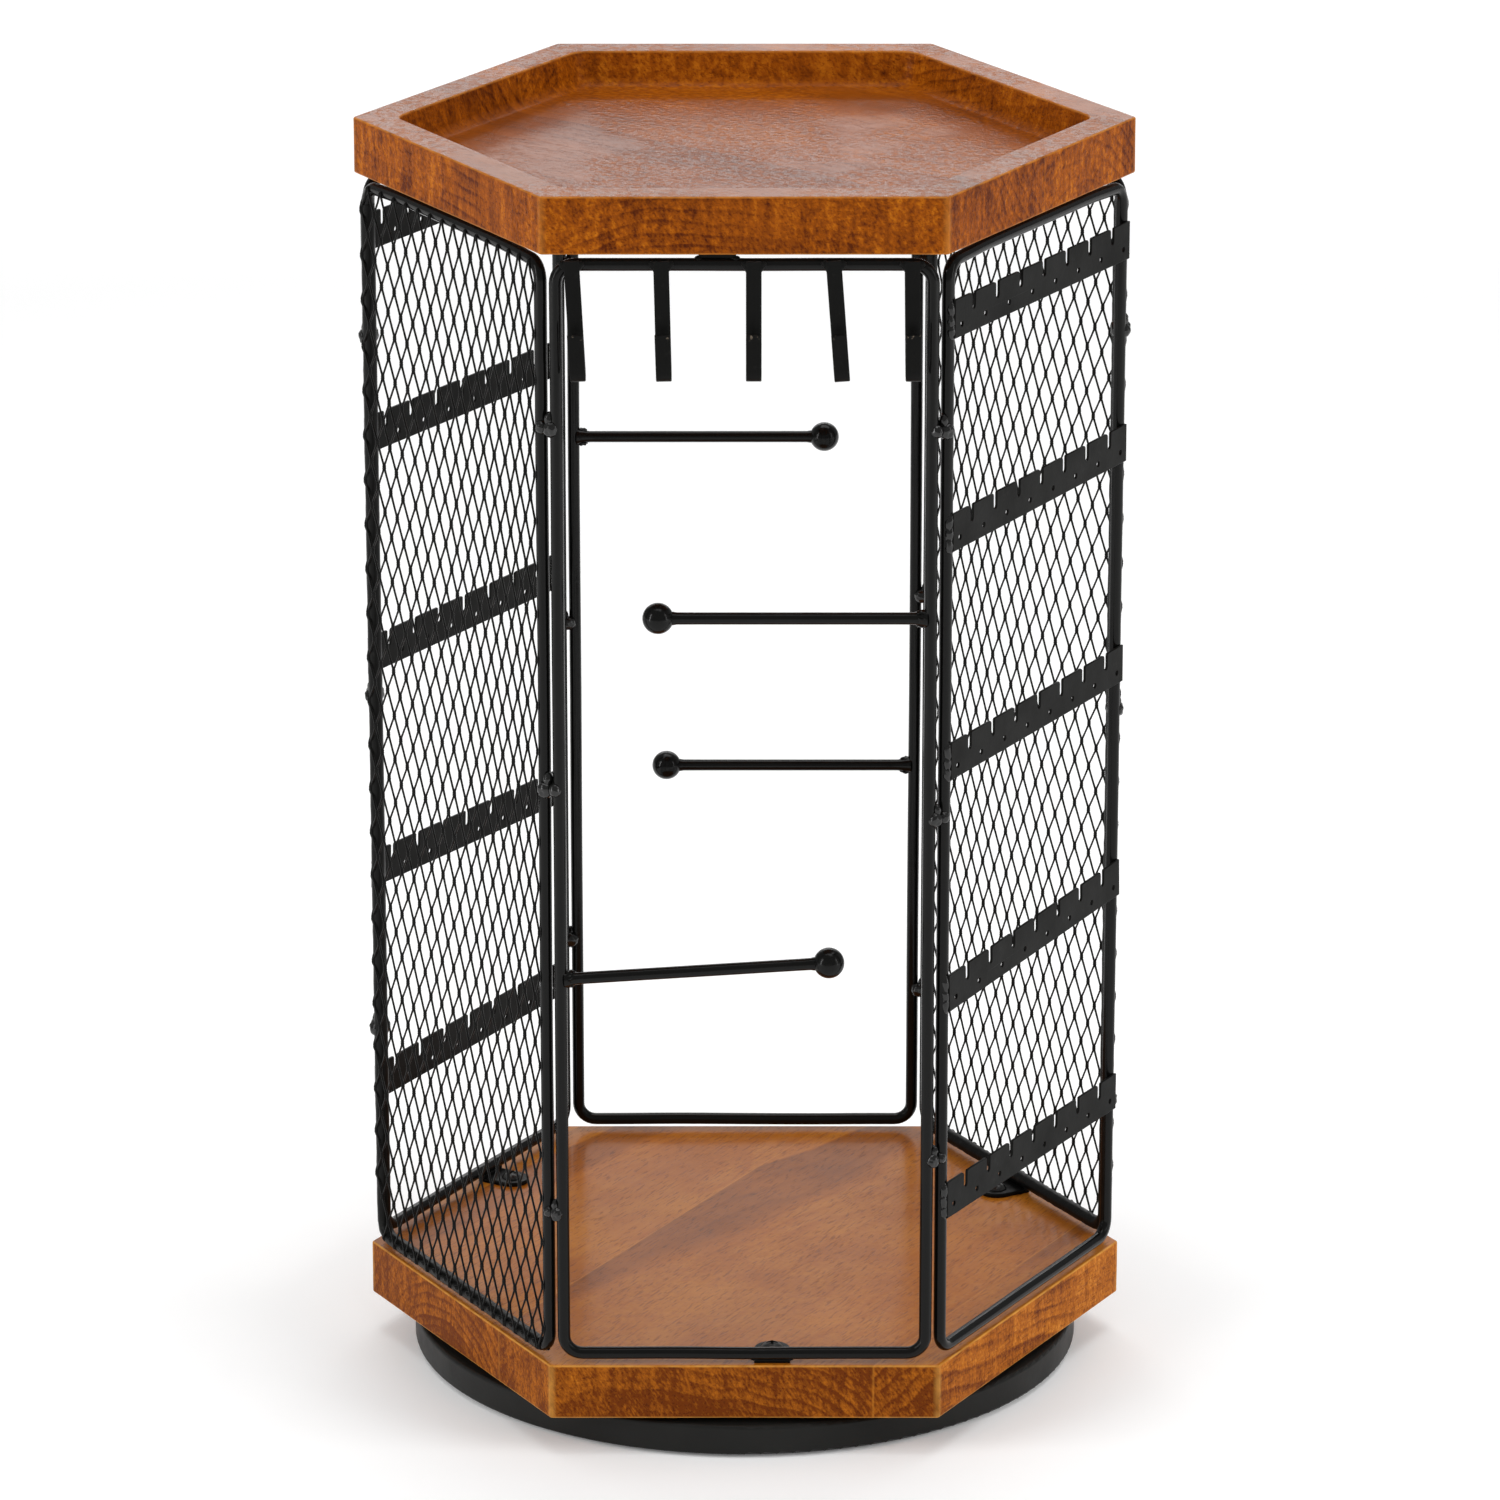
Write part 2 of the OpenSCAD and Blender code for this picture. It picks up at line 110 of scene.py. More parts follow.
def ends(node, angle, axis):
    """Middles of the two end faces of a CAD node, low end first, along one local axis."""
    reach = 1.2 * MM
    points = local_points(node, angle)
    low = min(p[axis] for p in points)
    high = max(p[axis] for p in points)
    return (
        middle([p for p in points if p[axis] < low + reach]),
        middle([p for p in points if p[axis] > high - reach]),
    )


def arc(start, sweep, steps):
    """Angles in radians, both ends included, from a start and a sweep in degrees."""
    return [math.radians(start + sweep * i / steps) for i in range(steps + 1)]


def full_turn(steps):
    return [2 * math.pi * i / steps for i in range(steps)]


def smooth_step(low, high, x):
    t = min(max((x - low) / (high - low), 0), 1)
    return t * t * (3 - 2 * t)


def wobble(x, y, z=0.0):
    """Smooth noise from -1 to 1 that repeats exactly on each run."""
    return noise.noise(Vector((x, y, z)))


# ---- mesh building

def new_object(name, data):
    obj = bpy.data.objects.new(name, data)
    bpy.context.scene.collection.objects.link(obj)
    return obj


class Shape:
    """Collects the points and faces of one piece, with a wear value at each point."""

    def __init__(self):
        self.points = []
        self.faces = []
        self.wear = []

    def loft(self, rings, loop=False, wear=None):
        """Skins a row of closed rings that all have the same number of points."""
        start = len(self.points)
        count = len(rings[0])
        for i, ring in enumerate(rings):
            self.points.extend(ring)
            self.wear.extend(wear[i] if wear else [0.0] * count)
        steps = len(rings) if loop else len(rings) - 1
        for i in range(steps):
            a = start + i * count
            b = start + ((i + 1) % len(rings)) * count
            for j in range(count):
                k = (j + 1) % count
                self.faces.append((a + j, a + k, b + k, b + j))
        if not loop:
            last = start + (len(rings) - 1) * count
            self.faces.append(tuple(start + j for j in reversed(range(count))))
            self.faces.append(tuple(last + j for j in range(count)))

    def sweep(self, path, section, normal, loop=False, scales=None):
        """Sweeps a section, given as (normal, sideways) pairs, along a path."""
        rings = []
        last = len(path) - 1
        for i, p in enumerate(path):
            before = path[i - 1] if i > 0 or loop else p
            after = path[(i + 1) % len(path)] if i < last or loop else p
            tangent = (after - before).normalized()
            side = tangent.cross(normal).normalized()
            lift = side.cross(tangent)
            s = scales[i] if scales else 1.0
            rings.append([p + lift * (a * s) + side * (b * s) for a, b in section])
        self.loft(rings, loop=loop)

    def sweep_strip(self, path, sideways, section, wear=None):
        """Sweeps a strip section whose width keeps one direction."""
        rings = []
        for i, p in enumerate(path):
            tangent = (path[min(i + 1, len(path) - 1)] - path[max(i - 1, 0)]).normalized()
            lift = tangent.cross(sideways).normalized()
            rings.append([p + lift * a + sideways * b for a, b in section])
        self.loft(rings, wear=wear)

    def lathe(self, profile, steps, centre, axis):
        """Turns (radius, height) pairs about an axis. The first and last radii are small."""
        across = axis.orthogonal().normalized()
        second = axis.cross(across)
        rings = []
        for r, h in profile:
            rings.append([centre + axis * h + (across * math.cos(t) + second * math.sin(t)) * r
                          for t in full_turn(steps)])
        self.loft(rings)

    def lump(self, centre, axes, seed, rough=0.12, rows=10, steps=18, pit=0.0):
        """Uneven bead of weld: an ellipsoid with half sizes in axes, dented by noise.

        pit is the depth of a small crater in the way of the first axis, as a share of its size.
        """
        rings = []
        for i in range(rows + 1):
            polar = math.pi * (i + 0.15) / (rows + 0.3)
            ring = []
            for turn in full_turn(steps):
                way = Vector((math.sin(polar) * math.cos(turn), math.sin(polar) * math.sin(turn),
                              math.cos(polar)))
                size = 1 + rough * wobble(2.1 * way.x + seed, 2.1 * way.y, 2.1 * way.z)
                size += 0.5 * rough * wobble(5 * way.x, 5 * way.y + seed, 5 * way.z)
                if way.x > 0:
                    size -= pit * math.exp(-(way.y / 0.3) ** 2 - ((way.z + 0.2) / 0.3) ** 2)
                ring.append(centre + (axes[0] * way.x + axes[1] * way.y + axes[2] * way.z) * size)
            rings.append(ring)
        self.loft(rings)


def circle_section(radius, sides):
    return [(radius * math.cos(t), radius * math.sin(t)) for t in full_turn(sides)]


def strip_section(thick, width, corner, steps=3):
    """Rounded rectangle: thick along the normal, width sideways."""
    points = []
    for sx, sy, start in ((1, 1, 0), (-1, 1, 90), (-1, -1, 180), (1, -1, 270)):
        for t in arc(start, 90, steps):
            points.append((sx * (thick / 2 - corner) + corner * math.cos(t),
                           sy * (width / 2 - corner) + corner * math.sin(t)))
    return points


def piece(name, shape, material, nodes=(), crease=35):
    """Makes the object, smooth apart from edges sharper than the crease, and hooks it to the frame."""
    mesh = bpy.data.meshes.new(name)
    mesh.from_pydata(shape.points, [], shape.faces)
    work = bmesh.new()
    work.from_mesh(mesh)
    bmesh.ops.recalc_face_normals(work, faces=work.faces[:])
    work.to_mesh(mesh)
    work.free()
    if any(shape.wear):
        worn = mesh.attributes.new("wear", "FLOAT", "POINT")
        worn.data.foreach_set("value", shape.wear)
    place_mesh(name, mesh, material, nodes, crease)


def place_mesh(name, mesh, material, nodes, crease):
    """Adds a finished mesh as a piece of the rack that stands for some CAD nodes."""
    mesh.validate()
    mesh.shade_smooth()
    mesh.set_sharp_from_angle(angle=math.radians(crease))
    mesh.materials.clear()
    mesh.materials.append(material)
    obj = new_object(name, mesh)
    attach(obj, "rack")
    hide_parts(*nodes)


# ---- materials

class Graph:
    """Short names for the shader nodes of one material."""

    def __init__(self, name):
        self.material = bpy.data.materials.new(name)
        self.material.use_nodes = True
        self.tree = self.material.node_tree
        self.tree.nodes.clear()
        output = self.tree.nodes.new("ShaderNodeOutputMaterial")
        self.shader = self.tree.nodes.new("ShaderNodeBsdfPrincipled")
        self.tree.links.new(self.shader.outputs[0], output.inputs[0])

    def add(self, kind, inputs, out=0, **settings):
        node = self.tree.nodes.new("ShaderNode" + kind)
        for key, value in settings.items():
            setattr(node, key, value)
        for key, value in inputs.items():
            self.feed(node.inputs[key], value)
        return node.outputs[out]

    def feed(self, socket, value):
        if isinstance(value, bpy.types.NodeSocket):
            self.tree.links.new(value, socket)
        else:
            socket.default_value = value

    def set(self, **values):
        """Sets the shader's own sockets: base_color means Base Color."""
        for key, value in values.items():
            name = " ".join(w if w == "of" else w.capitalize() for w in key.split("_"))
            self.feed(self.shader.inputs[name.replace("Ior", "IOR")], value)

    def math(self, operation, a, b=0.0, c=0.0):
        return self.add("Math", {0: a, 1: b, 2: c}, operation=operation)

    def times(self, a, b):
        return self.math("MULTIPLY", a, b)

    def object_place(self):
        return self.add("TexCoord", {}, out="Object")

    def object_normal(self):
        return self.add("TexCoord", {}, out="Normal")

    def worn_edges(self):
        """The wear stored at the points of a piece, and 0 where it has none."""
        return self.add("Attribute", {}, out="Fac", attribute_name="wear")

    def split(self, vector):
        node = self.tree.nodes.new("ShaderNodeSeparateXYZ")
        self.feed(node.inputs[0], vector)
        return node.outputs

    def total(self, terms):
        """Sum of value times weight over (value, weight) pairs."""
        result = 0.0
        for value, weight in terms:
            result = self.math("MULTIPLY_ADD", value, weight, result)
        return result

    def turned(self, vector, turn):
        return self.add("Mapping", {0: vector, "Rotation": turn}, vector_type="POINT")

    def noise(self, vector, scale, detail=2.0, rough=0.5, shift=(0, 0, 0)):
        """Noise at one scale, or at a scale for each axis."""
        one, each = (1.0, scale) if isinstance(scale, tuple) else (scale, (1, 1, 1))
        if each == scale or any(shift):
            vector = self.add("Mapping", {0: vector, "Location": shift, "Scale": each},
                              vector_type="POINT")
        return self.add("TexNoise", {"Vector": vector, "Scale": one, "Detail": detail,
                                     "Roughness": rough})

    def cells(self, value, width, stops):
        """Repeats a ramp once in each width of a distance."""
        return self.ramp(self.math("FRACT", self.math("DIVIDE", value, width)), stops, "EASE")

    def ramp(self, value, stops, interpolation="LINEAR"):
        """Colour or grey ramp; each stop is (place, number or colour)."""
        node = self.tree.nodes.new("ShaderNodeValToRGB")
        node.color_ramp.interpolation = interpolation
        elements = node.color_ramp.elements
        while len(elements) < len(stops):
            elements.new(0.5)
        for element, (place, value_there) in zip(elements, stops):
            element.position = place
            if isinstance(value_there, (int, float)):
                value_there = (value_there,) * 3
            element.color = (*value_there, 1)
        self.feed(node.inputs[0], value)
        return node.outputs[0]

    def mix(self, amount, a, b, blend="MIX"):
        """Mixes two colours. The node's colour sockets share names, so they go by number."""
        node = self.tree.nodes.new("ShaderNodeMix")
        node.data_type = "RGBA"
        node.blend_type = blend
        self.feed(node.inputs[0], amount)
        self.feed(node.inputs[6], self.rgba(a))
        self.feed(node.inputs[7], self.rgba(b))
        return node.outputs[2]

    @staticmethod
    def rgba(value):
        return (*value, 1) if isinstance(value, tuple) and len(value) == 3 else value

    def bump(self, height, distance, strength=1.0, normal=None):
        inputs = {"Height": height, "Distance": distance, "Strength": strength}
        if normal is not None:
            inputs["Normal"] = normal
        return self.add("Bump", inputs)


# One board's wood: how it was cut, and how the stain and the lacquer took. grain is the way the
# grain runs, in degrees about Z from +X. joint moves the glue joints across the grain, stave is the
# width of a stave, and level is the height of the board's underside. The shades are light, mid,
# dark and worn edge. The other values say how much each feature shows; the fleck value sets how
# strongly pale flecks are painted on the upright faces as glints of glossy pores.
Stain = namedtuple("Stain", "grain joint stave level seed shades rings bands soak end_dark fleck "
                            "streaks flat_dark peel gloss rough")


def wood_growth(g, place, grain, stain):
    """Each stave's growth rings, broad bands and tone, and how far across it a point lies."""
    ring_w = 4.2 * MM
    band_w = 42 * MM
    x, y, z = g.split(grain)

    # Each stave has its own tone and its own place in the log
    across = g.math("ADD", y, stain.joint)
    staves = g.math("DIVIDE", across, stain.stave)
    stave = g.math("FLOOR", staves)
    chance = g.add("TexWhiteNoise", {"W": g.math("ADD", stave, stain.seed)}, out="Color",
                   noise_dimensions="1D")
    pick = g.tree.nodes.new("ShaderNodeSeparateColor")
    g.feed(pick.inputs[0], chance)
    tone, pith_side, pith_depth = pick.outputs

    # Growth rings: distance from a wavering pith line below the board
    waver = g.noise(grain, (5, 17, 17), 3.0, 0.55, shift=(stain.seed, 0, 0))
    stave_middle = g.times(g.math("ADD", stave, 0.5), stain.stave)
    from_y = g.total([(across, 1.0), (stave_middle, -1.0), (pith_side, 50 * MM), (x, 0.12)])
    from_z = g.math("ADD", g.math("MULTIPLY_ADD", pith_depth, 45 * MM, 22 * MM - stain.level), z)
    radius = g.math("SQRT", g.math("ADD", g.times(from_y, from_y),
                                   g.times(from_z, from_z)))
    radius = g.math("MULTIPLY_ADD", waver, 26 * MM, radius)
    ring = g.cells(radius, ring_w, [(0.0, 0.0), (0.5, 0.2), (0.84, 1.0), (1.0, 0.0)])
    shows = g.ramp(g.noise(place, 17.0, shift=(stain.seed, 0, 0)), [(0.42, 0.10), (0.62, 1.0)])
    ring = g.times(ring, shows)
    band = g.cells(radius, band_w, [(0.0, 0.0), (0.55, 0.1), (0.66, 0.85), (0.97, 1.0), (1.0, 0.0)])
    return ring, band, tone, staves


def stained_wood(name, stain):
    """Glued hardwood staves under an orange-brown stain and a lacquer.

    The pattern is solid, so long grain and end grain agree at the edges.
    """
    seed = stain.seed
    g = Graph(name)
    place = g.object_place()
    turn = math.radians(-stain.grain)
    grain = g.turned(place, (0, 0, turn))
    ring, band, tone, staves = wood_growth(g, place, grain, stain)

    # Faces that cut across the grain soak up more stain
    facing = g.add("VectorMath", {0: g.object_normal(),
                                  1: (math.cos(-turn), math.sin(-turn), 0)},
                   out="Value", operation="DOT_PRODUCT")
    flat = g.math("ABSOLUTE", g.split(g.object_normal())[2])
    upright = g.math("SUBTRACT", 1.0, flat)
    end_grain = g.times(g.math("POWER", g.math("ABSOLUTE", facing), 2.0), upright)

    # Fine features: noises, some of them stretched along the grain or upright
    fibre = g.noise(grain, (20, 760, 760), 4.0, 0.65, shift=(0, seed, 0))
    streak = g.noise(grain, (8, 110, 110), 3.0, 0.6, shift=(0, seed, 0))
    pores = g.noise(grain, (190, 1500, 1500), 2.0, 0.6)
    pores = g.ramp(pores, [(0.0, 1.0), (0.38, 0.95), (0.43, 0.0)])
    peel = g.noise(place, 470.0, 2.0, 0.55)
    patch = g.ramp(g.noise(place, 15.0, shift=(0, seed, 0)), [(0.42, 0.12), (0.50, 1.0)])
    blotch = g.noise(place, 26.0, 3.0, 0.55, shift=(0, 0, seed))
    soak = g.noise(place, (240, 240, 45), 4.0, 0.65, shift=(seed, 0, 0))
    # Slanted pale flecks on the upright faces: painted glints of glossy pores, also used as a bump
    leaning = g.turned(place, (0, 0.55, 0.3))
    fleck = g.noise(leaning, (1300, 1300, 420), 2.0, 0.6)

    # Depth of the stain, with painted light mixed in: pale flecks painted on the upright faces as
    # glints, and light and dark speckle painted in the orange-peel patches as the lacquer's glints.
    # Each feature counts more on the flats or on the upright faces, and the upright faces are darker
    # all over.
    upright_soak = g.times(g.math("SUBTRACT", soak, 0.5), upright)
    upright_painted_glint_fleck = g.times(g.math("SUBTRACT", fleck, 0.5), upright)
    band = g.times(band, g.math("MULTIPLY_ADD", upright, -0.45, 1.0))
    ring = g.times(ring, g.math("MULTIPLY_ADD", upright, 1.3, 0.5))
    lines = g.total([(fibre, 0.42), (streak, stain.streaks), (1.0, -0.21 - stain.streaks / 2)])
    lines = g.times(lines, g.math("MULTIPLY_ADD", flat, -0.5, 1.0))
    # Light and dark speckle in the orange-peel patches: painted glints of the lacquer, put into the
    # colour
    painted_peel_glints = g.times(g.math("SUBTRACT", peel, 0.5), patch)
    depth = g.total([(ring, stain.rings), (band, stain.bands), (lines, 1.0), (tone, 0.12),
                     (blotch, 0.50), (upright_soak, stain.soak), (upright_painted_glint_fleck, -stain.fleck),
                     (upright, 0.12), (end_grain, stain.end_dark), (flat, stain.flat_dark),
                     (painted_peel_glints, 0.20 * stain.peel)])
    depth = g.math("ADD", depth, 0.04)

    # Colour: the stain, the open pores, the glue joints and the edges where the stain is worn thin
    light, mid, dark, edge = stain.shades
    colour = g.ramp(depth, [(0.05, light), (0.45, mid), (1.0, dark)])
    colour = g.mix(g.times(pores, 0.65), colour, (0.46, 0.38, 0.32), "MULTIPLY")
    glue_line = g.ramp(g.math("FRACT", staves), [(0.0, 1.0), (0.004, 0.0), (0.996, 0.0), (1.0, 1.0)])
    colour = g.mix(g.times(glue_line, 0.35), colour, light)
    patchy = g.ramp(g.noise(place, 160.0, 2.0), [(0.3, 0.35), (0.6, 1.0)])
    worn = g.times(g.worn_edges(), patchy)
    colour = g.mix(g.times(worn, 0.75), colour, edge)

    # Lacquer: sunk into the pores, with orange peel in patches, and thick only on the flats
    swell = g.noise(place, 60.0, 2.0, 0.5)
    height = g.total([(g.times(peel, patch), stain.peel), (fibre, 0.6), (pores, -0.6),
                      (upright_painted_glint_fleck, 1.2)])
    wave = g.bump(swell, 0.5 * MM, 0.35)
    surface = g.bump(height, 0.06 * MM, 1.0, wave)
    rough = g.total([(g.noise(place, 75.0, 3.0), 0.14), (upright, 0.14)])
    pits = g.times(g.ramp(peel, [(0.45, 0.16 * stain.peel), (0.52, 0.0)]), patch)
    coat = g.times(g.ramp(flat, [(0.84, 0.03), (0.99, stain.gloss)]), g.math("SUBTRACT", 1.0, pits))
    g.set(base_color=colour, roughness=g.math("ADD", rough, stain.rough), normal=surface,
          coat_weight=coat, coat_roughness=0.11, coat_normal=surface, specular_ior_level=0.05)
    return g.material


def powder_coat(name, tint, rough, peel_size, peel_depth, spec, scuffs=0.0):
    """Black powder coat: orange peel, uneven gloss and, with scuffs, a few paler rubbed spots."""
    g = Graph(name)
    place = g.object_place()
    shade = g.noise(place, 34.0, 4.0, 0.6)
    grit = g.noise(place, 2600.0, 1.0, 0.5)
    warm_black = (1.0, 1.0, 0.92)
    scuff_grey = (0.13, 0.125, 0.12)
    bare_metal = (0.15, 0.12, 0.09)
    base = tuple(c * tint for c in warm_black)
    colour = g.mix(shade, tuple(c * 0.65 for c in base), tuple(c * 1.5 for c in base))
    if scuffs:
        rub = g.ramp(g.noise(place, 210.0, 5.0, 0.7), [(0.60, 0.0), (0.74, 1.0)])
        colour = g.mix(g.times(rub, scuffs), colour, scuff_grey)
    chip = g.ramp(g.noise(place, 760.0, 2.0), [(0.62, 0.0), (0.67, 1.0)])
    bare = g.times(chip, g.worn_edges())
    colour = g.mix(bare, colour, bare_metal)
    peel = g.noise(place, 1 / peel_size, 2.0, 0.5)
    lumps = g.noise(place, 0.22 / peel_size, 2.0, 0.5)
    surface = g.bump(lumps, 2.5 * peel_depth, 0.8)
    surface = g.bump(g.math("MULTIPLY_ADD", grit, 0.25, peel), peel_depth, 1.0, surface)
    gloss = g.ramp(g.noise(place, 48.0, 3.0), [(0.3, rough - 0.07), (0.7, rough + 0.09)])
    g.set(base_color=colour, roughness=gloss, normal=surface, specular_ior_level=spec)
    return g.material


def rubber(name):
    """Matt black rubber with a little dust."""
    g = Graph(name)
    place = g.object_place()
    colour = g.mix(g.noise(place, 90.0, 4.0), (0.012, 0.012, 0.012), (0.030, 0.029, 0.028))
    surface = g.bump(g.noise(place, 1500.0, 2.0), 0.04 * MM)
    dust = g.ramp(g.noise(place, 60.0, 3.0), [(0.35, 0.62), (0.7, 0.85)])
    g.set(base_color=colour, roughness=dust, normal=surface, specular_ior_level=0.3)
    return g.material


def plated_steel(name):
    """Zinc-plated sheet and balls, with faint rolling lines and handling marks."""
    g = Graph(name)
    place = g.object_place()
    brushed = g.noise(place, (60, 900, 60), 3.0, 0.6)
    cloud = g.noise(place, 45.0, 3.0)
    colour = g.mix(cloud, (0.50, 0.50, 0.49), (0.68, 0.67, 0.63))
    surface = g.bump(brushed, 0.02 * MM)
    gloss = g.ramp(g.noise(place, 120.0, 4.0), [(0.3, 0.24), (0.75, 0.42)])
    g.set(base_color=colour, metallic=1.0, roughness=gloss, normal=surface)
    return g.material


def moulded_plastic(name):
    """Cream plastic with a fine mould texture and uneven gloss."""
    g = Graph(name)
    place = g.object_place()
    colour = g.mix(g.noise(place, 70.0, 3.0), (0.55, 0.52, 0.43), (0.66, 0.63, 0.54))
    surface = g.bump(g.noise(place, 1100.0, 2.0), 0.02 * MM)
    gloss = g.ramp(g.noise(place, 140.0, 3.0), [(0.3, 0.38), (0.7, 0.52)])
    g.set(base_color=colour, roughness=gloss, normal=surface)
    return g.material


def studio_floor(name):
    """Pale sheet that glows a little where the lights no longer reach it."""
    g = Graph(name)
    place = g.object_place()
    reach = 5.0
    cloud = g.noise(place, 1.3, 3.0)
    far = g.add("VectorMath", {0: place}, out="Value", operation="LENGTH")
    glow = g.ramp(g.math("DIVIDE", far, reach), [(0.30, 0.09), (0.62, 0.60)])
    g.set(base_color=g.mix(cloud, (0.94, 0.94, 0.94), (0.97, 0.97, 0.97)), roughness=0.7,
          emission_color=(1, 1, 1, 1), emission_strength=glow)
    return g.material


TRAY_SHADES = ((0.46, 0.135, 0.006), (0.275, 0.064, 0.002), (0.085, 0.015, 0.001),
               (0.52, 0.20, 0.035))
BASE_SHADES = ((0.62, 0.235, 0.025), (0.40, 0.115, 0.007), (0.14, 0.030, 0.002),
               (0.66, 0.33, 0.07))
tray_wood = stained_wood("tray_wood", Stain(
    grain=-35, joint=130 * MM, stave=140 * MM, level=tray_low.z, seed=3.0, shades=TRAY_SHADES,
    rings=0.21, bands=0.16, soak=1.6, end_dark=0.06, fleck=0.9, streaks=0.20, flat_dark=0.15,
    peel=5.0, gloss=0.47, rough=0.26))
base_wood = stained_wood("base_wood", Stain(
    grain=60, joint=93.5 * MM, stave=125 * MM, level=base_low.z, seed=8.0, shades=BASE_SHADES,
    rings=0.19, bands=0.32, soak=1.2, end_dark=0.38, fleck=1.2, streaks=0.08, flat_dark=0.0,
    peel=1.0, gloss=0.26, rough=0.30))
wire_coat = powder_coat("wire_coat", 0.0035, 0.16, 1.1 * MM, 0.02 * MM, 0.17)
weld_coat = powder_coat("weld_coat", 0.005, 0.14, 1.8 * MM, 0.008 * MM, 0.5)
strip_coat = powder_coat("strip_coat", 0.004, 0.42, 0.9 * MM, 0.03 * MM, 0.08, scuffs=0.05)
rail_coat = powder_coat("rail_coat", 0.006, 0.42, 0.8 * MM, 0.02 * MM, 0.05, scuffs=0.05)
mesh_coat = powder_coat("mesh_coat", 0.004, 0.34, 0.7 * MM, 0.04 * MM, 0.12, scuffs=0.12)
screw_coat = powder_coat("screw_coat", 0.010, 0.28, 0.6 * MM, 0.02 * MM, 0.5, scuffs=0.3)
stand_coat = powder_coat("stand_coat", 0.010, 0.44, 1.4 * MM, 0.02 * MM, 0.16)
foot_rubber = rubber("foot_rubber")
steel = plated_steel("plated_steel")
retainer = moulded_plastic("retainer_plastic")


# ---- boards

SIDE_SHARES = [0.012] + [i / 20 for i in range(1, 20)] + [0.988]
CORNER_STEPS = 6
CORNER_WEAR = 0.6
FLOOR_ROWS = 7


def hexagon_ring(corner_r, fillet, z, wave=0.0, seed=0.0):
    """Ring of a hexagon with filleted corners. wave shifts the sides in and out a little."""
    ring = []
    centre_r = corner_r - fillet / COS30
    for corner in range(6):
        angle = 60 * corner
        centre = out_of(angle) * centre_r
        for i in range(CORNER_STEPS + 1):
            ring.append(centre + out_of(angle - 30 + 60 * i / CORNER_STEPS) * fillet)
        start = ring[-1]
        end = out_of(angle + 60) * centre_r + out_of(angle + 30) * fillet
        ring.extend(start.lerp(end, share) for share in SIDE_SHARES)
    for p in ring:
        shift = wave * wobble(p.x * 30, p.y * 30, z * 90 + seed)
        p += Vector((p.x, p.y, 0)).normalized() * shift
        p.z = z
    return ring


def ring_wear(edge, corner=0.0):
    """Wear round one ring: the same all along its edge, or more at its six corners."""
    row = [max(edge, corner)] * (CORNER_STEPS + 1) + [edge] * len(SIDE_SHARES)
    return row * 6


def outer_rows(low, high, seed):
    """Rings and wear of a board's underside edge, its side and its upper edge, bottom first."""
    ease = 0.7 * MM
    corner = 1.0 * MM
    wave = 0.09 * MM
    rows = [(board_r - 8 * MM, low, 0.0), (board_r - 2.2 * ease, low, 0.0)]
    for t in arc(0, 90, 4):
        rows.append((board_r - ease * (1 - math.sin(t)), low + ease * (1 - math.cos(t)),
                     math.sin(2 * t)))
    for share in (0.10, 0.3, 0.5, 0.7, 0.90):
        rows.append((board_r, low + (high - low) * share, 0.0))
    for t in arc(0, 90, 4):
        rows.append((board_r - ease * (1 - math.cos(t)), high - ease * (1 - math.sin(t)),
                     math.sin(2 * t)))
    rows.append((board_r - 2.2 * ease, high, 0.1))
    rings = [hexagon_ring(r - wave, corner, z, wave, seed) for r, z, _ in rows]
    return rings, [ring_wear(w, CORNER_WEAR if low < z < high else 0.0) for _, z, w in rows]


def flat_rows(outer, fillet, z):
    """Rings that fill a flat floor towards its middle, and their wear."""
    shares = [1 - i / (FLOOR_ROWS + 1) for i in range(1, FLOOR_ROWS + 1)]
    return [hexagon_ring(outer * t, fillet * t, z) for t in shares], [ring_wear(0.0)] * FLOOR_ROWS


def base_board():
    shape = Shape()
    rings, wear = outer_rows(base_low.z, base_high.z, 1.0)
    floor_rings, floor_wear = flat_rows(board_r - 2 * MM, 1 * MM, base_high.z)
    shape.loft(rings + floor_rings, wear=wear + floor_wear)
    piece("base", shape, base_wood, nodes=["base_board"])


def top_tray():
    """Tray with a milled recess: leaning walls, a coved floor edge and rounded inner corners."""
    rim = 12.5 * MM
    depth = 12 * MM
    lean = 1.6 * MM
    cove = 4.5 * MM
    lip = 0.8 * MM
    inner_fillet = 8 * MM
    wave = 0.12 * MM
    shape = Shape()
    rings, wear = outer_rows(tray_low.z, tray_high.z, 5.0)
    mouth = board_r - rim / COS30
    floor_z = tray_high.z - depth
    rows = [(mouth + 2.4 * lip, tray_high.z, 0.1)]
    for t in arc(0, 90, 4):
        rows.append((mouth + lip * (1 - math.sin(t)), tray_high.z - lip * (1 - math.cos(t)),
                     0.9 * math.sin(2 * t)))
    wall_top = tray_high.z - lip
    wall_foot = floor_z + cove
    for i in range(1, 5):
        rows.append((mouth - lean * i / 4, wall_top + (wall_foot - wall_top) * i / 4, 0.0))
    for t in arc(0, 90, 7)[1:]:
        rows.append((mouth - lean - cove * (1 - math.cos(t)), wall_foot - cove * math.sin(t), 0.0))
    rings += [hexagon_ring(r, inner_fillet, z, wave, 9.0) for r, z, _ in rows]
    wear += [ring_wear(w) for _, _, w in rows]
    floor_rings, floor_wear = flat_rows(mouth - lean - cove, inner_fillet, floor_z)
    shape.loft(rings + floor_rings, wear=wear + floor_wear)
    piece("tray", shape, tray_wood, nodes=["top_tray"])


# ---- wire frames and welds

